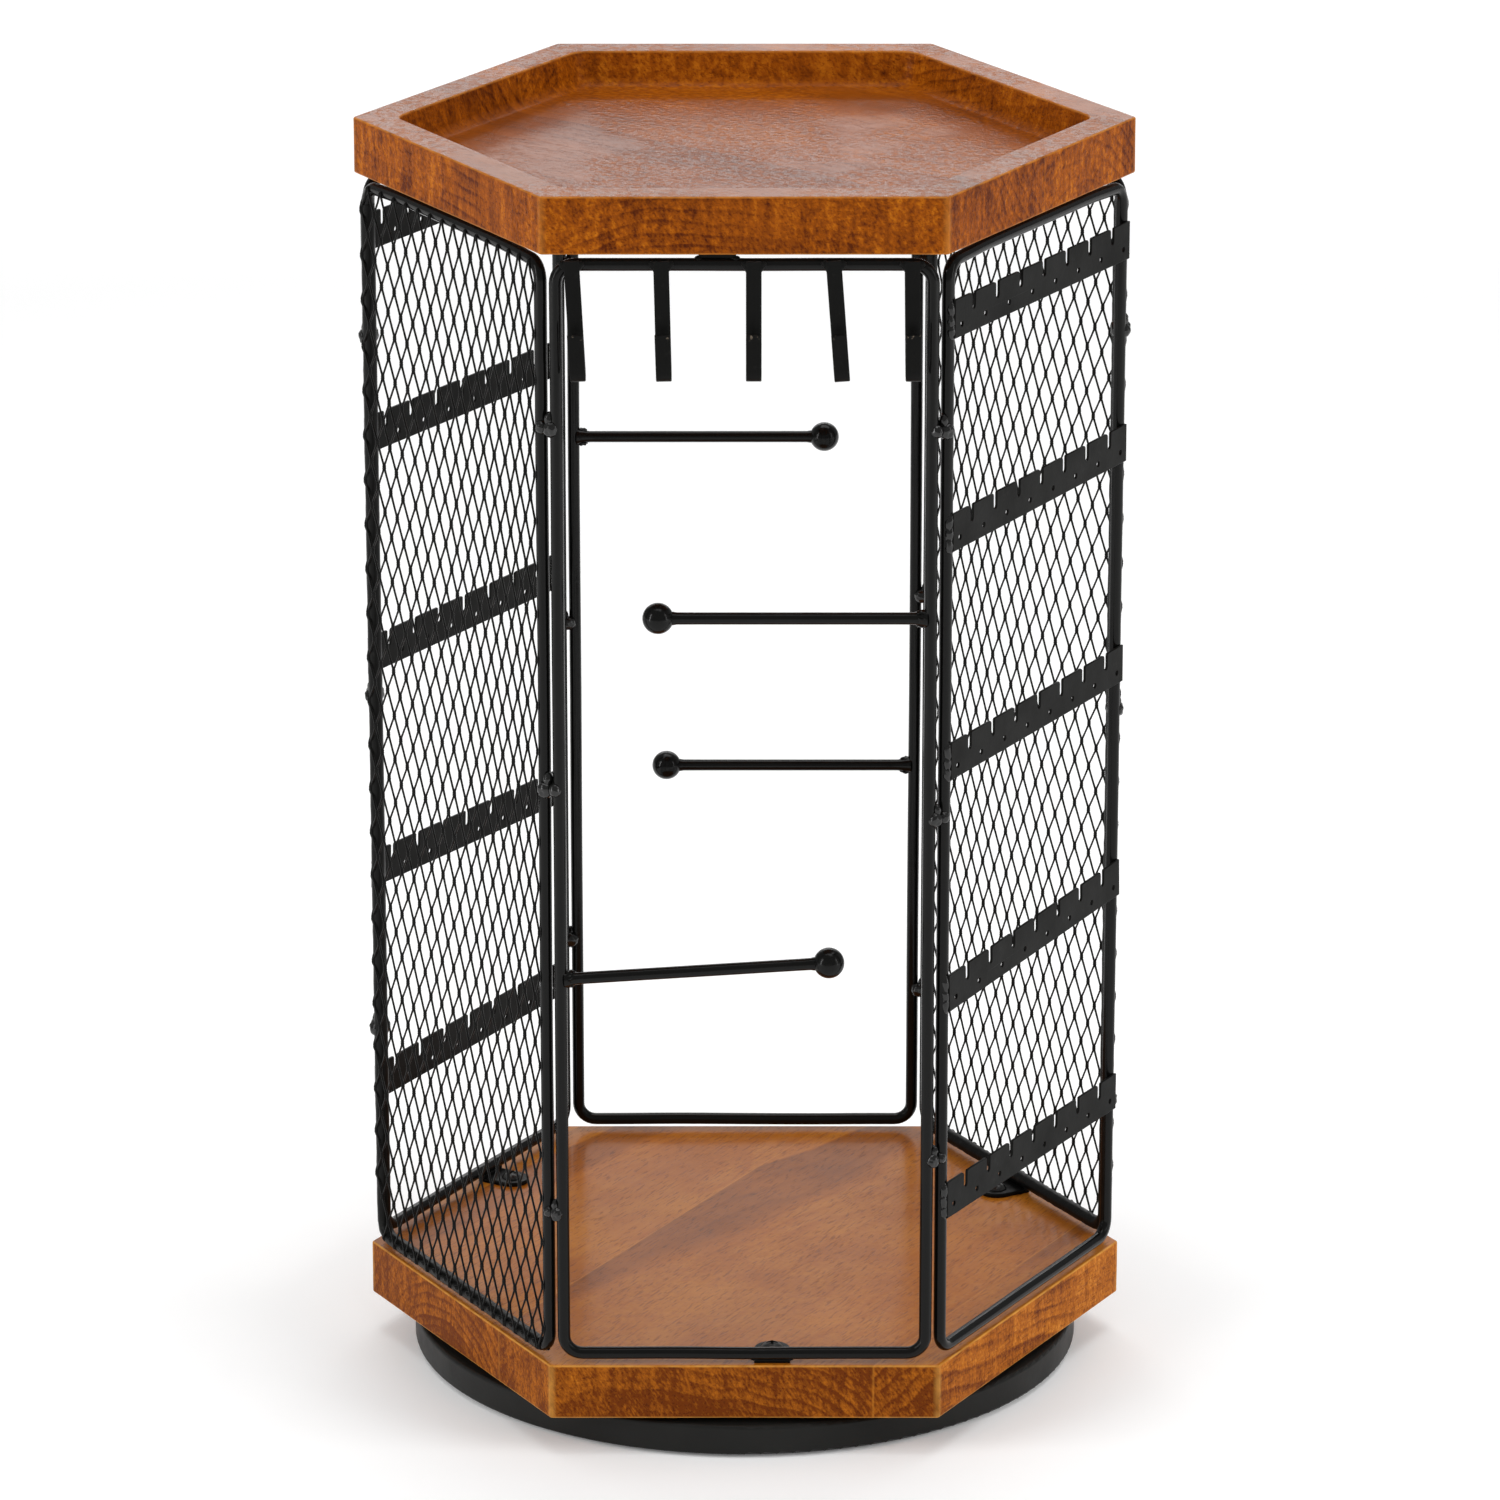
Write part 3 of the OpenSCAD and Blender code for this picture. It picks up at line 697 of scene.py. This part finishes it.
def wire_frame(name, angle, seed):
    """One wire bent into a closed frame. Its long sides bow a little, as bent wire does.

    Where no tab holds a frame down, its top wire springs up towards the tray.
    """
    spring = 0.0 if "tab_top_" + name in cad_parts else 0.75 * MM
    bend = WIRE_BEND
    bow = 0.35 * MM
    straight_steps = 14
    path = []
    corners = [(half_w - bend, high_z - bend, 0), (bend - half_w, high_z - bend, 90),
               (bend - half_w, low_z + bend, 180), (half_w - bend, low_z + bend, 270)]
    arcs = []
    for along, up, start in corners:
        arcs.append([(along + bend * math.cos(t), up + bend * math.sin(t))
                     for t in arc(start, 90, 8)])
    top, left, bottom, right = range(4)
    for i, bent in enumerate(arcs):
        path.extend(bent)
        a, b = bent[-1], arcs[(i + 1) % 4][0]
        for k in range(1, straight_steps):
            t = k / straight_steps
            swing = math.sin(math.pi * t) * bow * wobble(3.1 * t + seed, i * 1.7)
            sway = swing if i in (left, right) else 0.0
            lift = swing if i == bottom else 0.0
            if i == top:  # the spring comes and goes over a sixth of the wire
                lift = spring * min(1.0, 6 * t, 6 - 6 * t) + 0.3 * swing
            path.append((a[0] + (b[0] - a[0]) * t + sway, a[1] + (b[1] - a[1]) * t + lift))
    shape = Shape()
    shape.sweep([on_side(angle, frame_dist, a, u) for a, u in path], circle_section(wire_r, 20),
                out_of(angle), loop=True)
    piece("wire_" + name, shape, wire_coat, nodes=["frame_" + name])


def bead_centres(corner):
    """Heights of the weld beads at one corner of the cage."""
    apart = 8 * MM
    way = out_of(60 * corner)
    heights = sorted(v.co.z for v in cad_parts["corner_welds"].data.vertices
                     if v.co.dot(way) > 0.9 * corner_dist)
    groups = [[heights[0]]]
    for z in heights[1:]:
        if z - groups[-1][-1] > apart:
            groups.append([])
        groups[-1].append(z)
    return [(group[0] + group[-1]) / 2 for group in groups]


def weld_beads():
    """Lumpy beads over each pair of neighbouring upright wires.

    Each has a large lobe with a crater, a small lobe and a tail outside the cage, and one lobe inside.
    """
    proud = 1.4 * MM
    shape = Shape()
    for corner in range(6):
        out, along = out_of(60 * corner), along_of(60 * corner)
        for index, z in enumerate(bead_centres(corner)):
            seed = 7.3 * corner + 2.9 * index
            size = (1 + 0.2 * wobble(seed, 4.4)) * MM
            hand = 1 if wobble(seed, 8.3) > 0 else -1
            spot = out * (corner_dist + proud) + UP * z
            shape.lump(spot - along * (1.5 * hand * size) - UP * (0.4 * size),
                       (out * (2.5 * size), along * (2.5 * size), UP * (2.7 * size)),
                       seed, 0.10, rows=22, steps=36, pit=0.25)
            shape.lump(spot + along * (1.8 * hand * size) - UP * (0.1 * size),
                       (out * (2.2 * size), along * (2.0 * size), UP * (2.2 * size)),
                       seed + 20, 0.10, rows=18, steps=28)
            shape.lump(spot - along * (0.7 * hand * size) + UP * (2.6 * size) - out * (0.3 * size),
                       (out * (1.8 * size), along * (1.4 * size), UP * (2.4 * size)),
                       seed + 30, 0.14, rows=16, steps=24)
            shape.lump(spot - out * (2.2 * MM),
                       (out * (2.2 * size), along * (3.0 * size), UP * (2.8 * size)),
                       seed + 50, 0.14, rows=16, steps=26)
    piece("weld_beads", shape, weld_coat, nodes=["corner_welds"], crease=60)


# ---- rails

def sheet_blank(name, loops, thick, edge):
    """Flat sheet with holes and rounded edges, in the XY plane: a filled curve made into a mesh."""
    curve = bpy.data.curves.new(name, "CURVE")
    curve.dimensions = "2D"
    curve.fill_mode = "BOTH"
    curve.extrude = thick / 2 - edge
    curve.bevel_depth = edge
    curve.bevel_resolution = 2
    curve.offset = -edge
    for loop in loops:
        spline = curve.splines.new("POLY")
        spline.points.add(len(loop) - 1)
        for point, (px, py) in zip(spline.points, loop):
            point.co = (px, py, 0, 1)
        spline.use_cyclic_u = True
    holder = new_object(name, curve)
    bpy.context.view_layer.update()
    graph = bpy.context.evaluated_depsgraph_get()
    mesh = bpy.data.meshes.new_from_object(holder.evaluated_get(graph))
    bpy.data.objects.remove(holder)
    bpy.data.curves.remove(curve)
    return mesh


def rail_loops(length, height):
    """Outline with seven open notches along the top edge, and eight holes between them."""
    pitch = 16.1 * MM
    notch_r = 1.1 * MM
    notch_deep = 5.6 * MM
    notch_foot = height / 2 - notch_deep + notch_r
    chamfer = 0.4 * MM
    hole_r = 0.95 * MM
    hole_share = 0.31
    hole_y = height * hole_share - height / 2
    mouth_r = 1.1 * MM
    outline = [(-length / 2, -height / 2), (length / 2, -height / 2), (length / 2, height / 2)]
    for i in range(3, -4, -1):
        x = i * pitch
        outline += [(x + notch_r + chamfer, height / 2), (x + notch_r, height / 2 - chamfer)]
        for t in arc(0, -180, 8):
            outline.append((x + notch_r * math.cos(t), notch_foot + notch_r * math.sin(t)))
        for t in arc(0, 90, 4):
            outline.append((x - notch_r - mouth_r * (1 - math.cos(t)),
                            height / 2 - mouth_r * (1 - math.sin(t))))
    outline.append((-length / 2, height / 2))
    holes = []
    for i in range(-4, 4):
        x = (i + 0.5) * pitch
        holes.append([(x + hole_r * math.cos(t), hole_y + hole_r * math.sin(t))
                      for t in full_turn(20)])
    return [outline] + holes


def rail(name, angle):
    """Strip of sheet with notches and pin holes, welded across one side of the cage."""
    height = 12.8 * MM
    edge = 0.16 * MM
    left, right = ends(name, angle, 1)
    slope = math.atan2(right.z - left.z, right.y - left.y)
    centre = (left + right) / 2
    length = (right - left).length
    low, high = box_of(local_points(name, angle))
    thick = high.x - low.x
    mesh = sheet_blank(name + "_blank", rail_loops(length, height), thick, edge)
    axes = Matrix((along_of(angle), UP, out_of(angle))).transposed().to_4x4()
    mesh.transform(Matrix.Translation(on_side(angle, centre.x, centre.y, centre.z)) @ axes
                   @ Matrix.Rotation(slope, 4, "Z"))
    new_name = name.replace("rail", "notched_rail")
    place_mesh(new_name, mesh, rail_coat, nodes=[name], crease=50)
    rail_welds(new_name, angle, left, right, height)


def rail_welds(name, angle, left, right, height):
    """Welds that hold a rail to its two upright wires, flooded over by the coat."""
    out, along = out_of(angle), along_of(angle)
    shape = Shape()
    for side, end in ((-1, left), (1, right)):
        seed = end.z * 90 + side
        wire = Vector((frame_dist, side * half_w, end.z))
        big = 1.0 if side < 0 else 0.55
        for k, (up, tall) in enumerate(((0.24, 0.30), (-0.05, 0.26), (-0.33, 0.27))):
            centre = on_side(angle, wire.x + wire_r * 0.55, wire.y - side * 0.15 * MM,
                             wire.z + up * height)
            axes = (out * (1.75 * MM), along * ((1.7 + 0.5 * big) * MM), UP * (tall * height * big))
            shape.lump(centre, axes, seed + 4 * k, 0.2)
    piece(name + "_welds", shape, weld_coat, crease=60)


# ---- diamond mesh

def past_wire(along, up):
    """Distance outwards from the centre line of a frame's wire, and the way it points."""
    mid_z = (low_z + high_z) / 2
    across = abs(along) - half_w + WIRE_BEND
    above = abs(up - mid_z) - (high_z - mid_z) + WIRE_BEND
    if across > 0 and above > 0:
        far = math.hypot(across, above)
        way = (across / far, above / far)
    else:
        far = max(across, above)
        way = (1.0, 0.0) if across > above else (0.0, 1.0)
    return far - WIRE_BEND, math.copysign(way[0], along), math.copysign(way[1], up - mid_z)


def mesh_place(angle, along, up, lift):
    """Point of the mesh: flat across the frame, and pressed round the wire at its edges."""
    last_turn = 1.75
    sunk = 0.22 * MM
    past, along_way, up_way = past_wire(along, up)
    if past <= 0:
        return on_side(angle, frame_dist + wire_r + lift, along, up)
    turn = min(past / wire_r, last_turn)
    reach = wire_r + lift - (lift + sunk) * smooth_step(0.0, 0.7, turn)
    shift = reach * math.sin(turn) - past
    return on_side(angle, frame_dist + reach * math.cos(turn), along + shift * along_way,
                   up + shift * up_way)


def coat_sleeve(shape, angle, seed):
    """Coat that bridges the strands where they are pressed round the left and bottom wires."""
    upright_steps = 120
    bottom_steps = 60
    path = []
    for i in range(upright_steps + 1):
        run_down = (high_z - low_z - 2 * WIRE_BEND) * i / upright_steps
        path.append((-half_w, high_z - WIRE_BEND - run_down))
    for t in arc(180, 90, 9)[1:9]:
        path.append((WIRE_BEND - half_w + WIRE_BEND * math.cos(t),
                     low_z + WIRE_BEND + WIRE_BEND * math.sin(t)))
    for i in range(bottom_steps + 1):
        path.append((WIRE_BEND - half_w + (2 * half_w - 2 * WIRE_BEND) * i / bottom_steps, low_z))
    rings = []
    for i, (along, up) in enumerate(path):
        before, after = path[max(i - 1, 0)], path[min(i + 1, len(path) - 1)]
        run = Vector((after[0] - before[0], after[1] - before[1])).normalized()
        ring = []
        for t in full_turn(14):
            rough = wobble(i * 0.9 + seed, 1.9 * math.cos(t), 1.9 * math.sin(t))
            r = wire_r + (0.26 + 0.18 * rough) * MM
            side = r * math.sin(t)
            ring.append(on_side(angle, frame_dist + r * math.cos(t), along - side * run.y,
                                up + side * run.x))
        rings.append(ring)
    shape.loft(rings)


MESH_COLUMNS = 15
MESH_ROWS = 24
MESH_LIFT = 0.38 * MM
half_pitch = half_w / MESH_COLUMNS
half_row = (high_z - low_z) / MESH_ROWS / 2


def bond_place(k, up, seed):
    """Place along the side of a bond column: diamonds widen to the left upright higher up."""
    y = (k - MESH_COLUMNS) * half_pitch
    grade = 0.03 + 0.15 * smooth_step(0.12, 0.5, (up - low_z) / (high_z - low_z))
    inside = max(y, -half_w)
    shift = grade / 2 * (half_w - inside * inside / half_w)
    sway = 0.45 * MM * wobble(k * 0.35 + seed, up * 14)
    return y + shift + sway + 0.10 * MM * wobble(k * 5.3 + seed, up * 300)


def strand(k, angle, seed):
    """Path of one zigzag strand, and how much it swells at each point."""
    bond = 1.7 * MM
    split = 0.14 * MM
    tilt = 0.15 * MM
    near = 0.22
    bottom, top = -1, 2 * MESH_ROWS
    path, scales = [], []
    first = 2 if k < 1 else bottom
    for m in range(first, top + 1):
        up = low_z + m * half_row
        right = (k + m) % 2 == 0
        column = k + 1 if right else k
        turn = 1 if right else -1
        up += 0.25 * MM * wobble(column * 3.7 + seed, m * 2.3)
        along = bond_place(column, up, seed) - turn * split
        ragged = 1.1 * MM * wobble(k * 7.7 + seed, m * 1.3)
        for step in (-0.5, -near, 0.0, near, 0.5):
            z = up + step * bond
            if m == bottom:
                z = low_z - (2.6 - step) * MM + 0.5 * ragged
            elif m == top:
                z = high_z + (0.5 + step) * MM + 0.4 * ragged
            swell = 1.34 if abs(step) == near else 1.08
            if m in (bottom, 0):
                swell *= 1.25
            path.append(mesh_place(angle, along + turn * 0.06 * MM * (step > 0), z,
                                   MESH_LIFT + turn * tilt))
            scales.append(swell)
        if m < top:
            next_up = low_z + (m + 1) * half_row
            next_column = k if right else k + 1
            next_along = bond_place(next_column, next_up, seed) + turn * split
            start, end = up + bond / 2, next_up - bond / 2
            for t in (0.33, 0.67):
                path.append(mesh_place(angle, along + (next_along - along) * t,
                                       start + (end - start) * t,
                                       MESH_LIFT + turn * tilt * (1 - 2 * t)))
                scales.append(1.0)
    return path, scales


def bottom_lumps(shape, angle, seed):
    """Weld and coat where the strands end on the bottom wire, clear of its bent corners."""
    out, along_way = out_of(angle), along_of(angle)
    for k in range(2 * MESH_COLUMNS + 1):
        along = bond_place(k, low_z, seed) + 0.5 * MM * wobble(k * 4.1, seed)
        if abs(along) > half_w - 0.7 * WIRE_BEND:
            continue
        turn = 0.35 + 0.5 * wobble(k * 2.7 + seed, 6.1)
        spot = on_side(angle, frame_dist + wire_r * math.cos(turn), along,
                       low_z + wire_r * math.sin(turn))
        size = 1 + 0.3 * wobble(k * 1.9, seed)
        shape.lump(spot, (out * (0.7 * MM * size), along_way * (1.3 * MM * size),
                          UP * (0.8 * MM * size)), seed + k, 0.25, rows=6, steps=10)


def diamond_mesh(name, angle, seed):
    """Expanded-metal panel: zigzag strands that run together in short upright bonds."""
    thick = 0.70 * MM
    wide = 0.61 * MM
    section = strip_section(thick, wide, 0.2 * MM, 1)
    shape = Shape()
    for k in range(-1, 2 * MESH_COLUMNS):
        path, scales = strand(k, angle, seed)
        shape.sweep(path, section, out_of(angle), scales=scales)
    bottom_lumps(shape, angle, seed)
    coat_sleeve(shape, angle, seed)
    piece("diamond_" + name, shape, mesh_coat, nodes=[name], crease=70)


# ---- hooks

def hook(name, angle):
    """Flat strip bent into a J, with the weld's flares beside its upper end."""
    strip_w = 5 * MM
    strip_t = 1.2 * MM
    gap = 5 * MM
    lip_h = 16 * MM
    out, along = out_of(angle), along_of(angle)
    foot, head = ends(name, angle, 2)
    points = local_points(name, angle)
    stem_out = min(p.x for p in points) + strip_t / 2
    head = middle([p for p in points if p.z > head.z - 2 * MM])
    lean = math.atan2(foot.y - head.y, head.z - foot.z)
    tall = (max(p.z for p in points) - min(p.z for p in points)) / math.cos(lean)
    bend = (gap + strip_t) / 2
    down = (along * math.sin(lean) - UP * math.cos(lean)).normalized()
    sideways = out.cross(down)
    start = on_side(angle, stem_out, head.y, max(p.z for p in points))
    stem = tall - bend - strip_t / 2
    path = [start + down * (stem * i / 8) for i in range(9)]
    turn_centre = start + down * stem + out * bend
    for i in range(1, 15):
        t = math.pi * i / 14
        path.append(turn_centre - out * (bend * math.cos(t)) + down * (bend * math.sin(t)))
    lip = lip_h - bend - strip_t / 2
    skew = along * (0.5 * MM * wobble(head.y * 70, angle * 0.7))
    path += [turn_centre + out * bend - down * (lip * i / 6) + skew * (i / 6) for i in range(1, 7)]
    section = strip_section(strip_t, strip_w, 0.35 * MM)
    wear = [[0.0] * len(section)] * (len(path) - 1) + [[1.0] * len(section)]
    shape = Shape()
    shape.sweep_strip(path, sideways, section, wear)
    for side in (-1, 1):
        for k in range(3):
            centre = start + down * ((1.0 + 0.75 * k) * MM) + along * (side * (2.9 - 0.35 * k) * MM)
            centre -= out * 0.2 * MM
            axes = (out * (0.75 * MM), along * ((1.25 - 0.3 * k) * MM), UP * 1.1 * MM)
            shape.lump(centre, axes, head.y * 300 + side * 3 + k, 0.18, rows=8, steps=14)
    piece(name.replace("hook", "j_hook"), shape, strip_coat, nodes=[name], crease=50)


# ---- rods

def rod(which, angle, from_side):
    """Hanging rod with a welded root and a turned ball on its free end."""
    rod_r = 2 * MM
    ball_r = 5.1 * MM
    low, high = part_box("ball_" + which)
    ball = (low + high) / 2
    low_end, high_end = ends("rod_" + which, angle, 1)
    root = high_end if from_side > 0 else low_end
    start = on_side(angle, frame_dist, from_side * half_w, root.z)
    way = (ball - start).normalized()
    start += way * (wire_r * 0.5)
    length = (ball - start).length
    seed = 11 * angle + from_side
    root_stops = [0, 0.6, 1.2, 1.9, 2.7, 3.6, 4.8, 6.5, 9]
    places = [s * MM for s in root_stops]
    places += [9 * MM + (length - 15 * MM) * i / 10 for i in range(1, 11)]
    places += [length - 4.9 * MM, length - 4.2 * MM]
    scales = []
    for s in places:
        flare = 1 + 0.45 * max(0, 1 - s / (4.2 * MM)) * (1 + 0.3 * wobble(s * 900, seed))
        collar = 0.12 * smooth_step(length - 6.2 * MM, length - 5.2 * MM, s)
        scales.append(flare + collar)
    shape = Shape()
    shape.sweep([start + way * s for s in places], circle_section(rod_r, 20), out_of(angle),
                scales=scales)
    for k, (up, tilt) in enumerate(((2.0, 0.5), (-2.1, -0.3), (0.2, 1.4))):
        centre = start + UP * (up * MM) + out_of(angle) * (tilt * MM) + way * (1.9 * MM)
        shape.lump(centre, (way * 1.8 * MM, out_of(angle) * 1.5 * MM, UP * 1.0 * MM), seed + k, 0.4)
    piece("hanging_rod_" + which, shape, wire_coat, nodes=["rod_" + which])
    knob = Shape()
    turned = [(ball_r * math.sin(t), -ball_r * math.cos(t))
              for t in [math.pi * (i + 0.2) / 30.4 for i in range(31)]]
    knob.lathe(turned, 40, ball, way)
    piece("knob_" + which, knob, wire_coat, nodes=["ball_" + which])


# ---- tabs and screws

def fixing_tab(name, angle, upper):
    """Tongue of sheet: straight at the wire, round at the screw, with a weld on each side."""
    low, high = box_of(local_points(name, angle))
    half_w_tab = (high.y - low.y) / 2
    centre = (low + high) / 2
    round_x = low.x + half_w_tab
    edge = 0.4 * MM

    def outline(inset, z):
        """Edge of the tongue at one height, drawn in by inset."""
        r = half_w_tab - inset
        ring = [(high.x - inset, -r), (high.x - inset, -r / 3), (high.x - inset, r / 3),
                (high.x - inset, r)]
        for t in arc(90, 180, 20):
            ring.append((round_x + r * math.cos(t), r * math.sin(t)))
        return [on_side(angle, a, centre.y + b, z) for a, b in ring]

    rows = [(half_w_tab * 0.6, low.z), (edge, low.z)]
    for t in arc(-90, 180, 8)[1:8]:
        z = (low.z + edge if t < 0 else high.z - edge) + edge * math.sin(t)
        rows.append((edge * (1 - math.cos(t)), z))
    rows += [(edge, high.z), (half_w_tab * 0.6, high.z)]
    shape = Shape()
    shape.loft([outline(inset, z) for inset, z in rows])
    wire_z = high_z if upper else low_z
    for k in (-1, 1):
        spot = on_side(angle, frame_dist - 0.2 * MM, centre.y + k * half_w_tab,
                       (2 * centre.z + wire_z) / 3)
        shape.lump(spot, (out_of(angle) * 1.5 * MM, along_of(angle) * 1.3 * MM, UP * 0.9 * MM),
                   k + centre.x * 90, 0.2)
    piece(name.replace("tab", "fixing_tab"), shape, strip_coat, nodes=[name])


# ---- stand and bearing

def dress(names, material):
    """Gives CAD nodes whose shape is right their final material."""
    for name in names:
        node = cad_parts[name]
        for holder in node.material_slots:
            holder.material = material


base_board()
top_tray()
for number, (side_name, side_angle) in enumerate(SIDES.items()):
    wire_frame(side_name, side_angle, 3.3 * number)
weld_beads()
for level in range(1, 6):
    rail(f"rail_front_right_{level}", FRONT_RIGHT)
    rail(f"rail_back_left_{level}", BACK_LEFT)
    hook(f"hook_front_{level}", FRONT)
    hook(f"hook_back_{level}", BACK)
diamond_mesh("mesh_front_left", FRONT_LEFT, 1.0)
diamond_mesh("mesh_back_right", BACK_RIGHT, 40.0)
for end_name, end_angle in (("front", FRONT), ("back", BACK)):
    rod(end_name + "_upper", end_angle, 1)
    rod(end_name + "_lower", end_angle, -1)
for place_name in ("front", "back_right", "back_left"):
    fixing_tab("tab_bottom_" + place_name, SIDES[place_name], False)
    fixing_tab("tab_top_" + place_name, SIDES[place_name], True)
dress(["base_screws", "tray_screws"], screw_coat)
dress(["turntable_disc"], stand_coat)
dress(["rubber_feet"], foot_rubber)
dress(["bearing_lower_plate", "bearing_upper_plate", "bearing_balls", "centre_rivet",
       "stand_screws", "rack_screws"], steel)
dress(["ball_retainer"], retainer)


# ---- studio

def floor():
    """Plain pale sheet that the stand rests on."""
    size = 7.0
    mesh = bpy.data.meshes.new("floor")
    mesh.from_pydata([(-size, -size, 0), (size, -size, 0), (size, size, 0), (-size, size, 0)], [],
                     [(0, 1, 2, 3)])
    mesh.materials.append(studio_floor("studio_floor"))
    obj = new_object("floor", mesh)


def softbox(name, place, aim, width, height, power, matt=True, gloss=True):
    """Area light that the camera can't see, for matt and glossy reflections or one of them."""
    light = bpy.data.lights.new(name, "AREA")
    light.shape = "RECTANGLE"
    light.size = width
    light.size_y = height
    light.energy = power
    obj = new_object(name, light)
    obj.location = place
    obj.rotation_euler = (Vector(aim) - Vector(place)).to_track_quat("-Z", "Y").to_euler()
    obj.visible_camera = False
    obj.visible_diffuse = matt
    obj.visible_glossy = gloss


def studio_light():
    """Soft white room, large boxes for the shading, and narrow strips for the coat's glints."""
    world = bpy.data.worlds.new("studio")
    world.use_nodes = True
    background = world.node_tree.nodes["Background"]
    background.inputs["Color"].default_value = (1.0, 1.0, 1.0, 1)
    background.inputs["Strength"].default_value = 0.34
    bpy.context.scene.world = world
    centre = (0, 0, 0.2)
    softbox("left_box", (-2.3, -1.1, 1.1), centre, 1.4, 1.8, 42, gloss=False)
    softbox("right_box", (2.3, -1.0, 1.1), centre, 1.4, 1.8, 42, gloss=False)
    softbox("top_box", (0.1, 0.3, 2.4), centre, 1.8, 1.8, 26)
    softbox("back_box", (0, 3.2, 1.5), (0, 0, 0.3), 4.0, 2.2, 24)
    softbox("left_strip", (-2.3, -1.35, 0.9), centre, 0.16, 2.2, 20, matt=False)
    softbox("right_strip", (2.4, -1.2, 0.9), centre, 0.16, 2.2, 9, matt=False)
    softbox("back_strip", (0, 3.0, 1.95), (0, 0, 0.4), 2.4, 0.18, 9, matt=False)


def camera():
    """Looks down on the rack from the front, a little right of its axis."""
    rise = math.radians(17.93)
    distance = 2.510
    look = Vector((1.8 * MM, 0, 212.2 * MM))
    lens = bpy.data.cameras.new("camera")
    lens.sensor_width = 36
    lens.lens = 176.7
    lens.clip_end = 50
    obj = new_object("camera", lens)
    obj.location = look + Vector((0, -math.cos(rise), math.sin(rise))) * distance
    obj.rotation_euler = (math.pi / 2 - rise, 0, 0)
    bpy.context.scene.camera = obj


floor()
studio_light()
camera()
bpy.context.scene.view_settings.view_transform = "Standard"
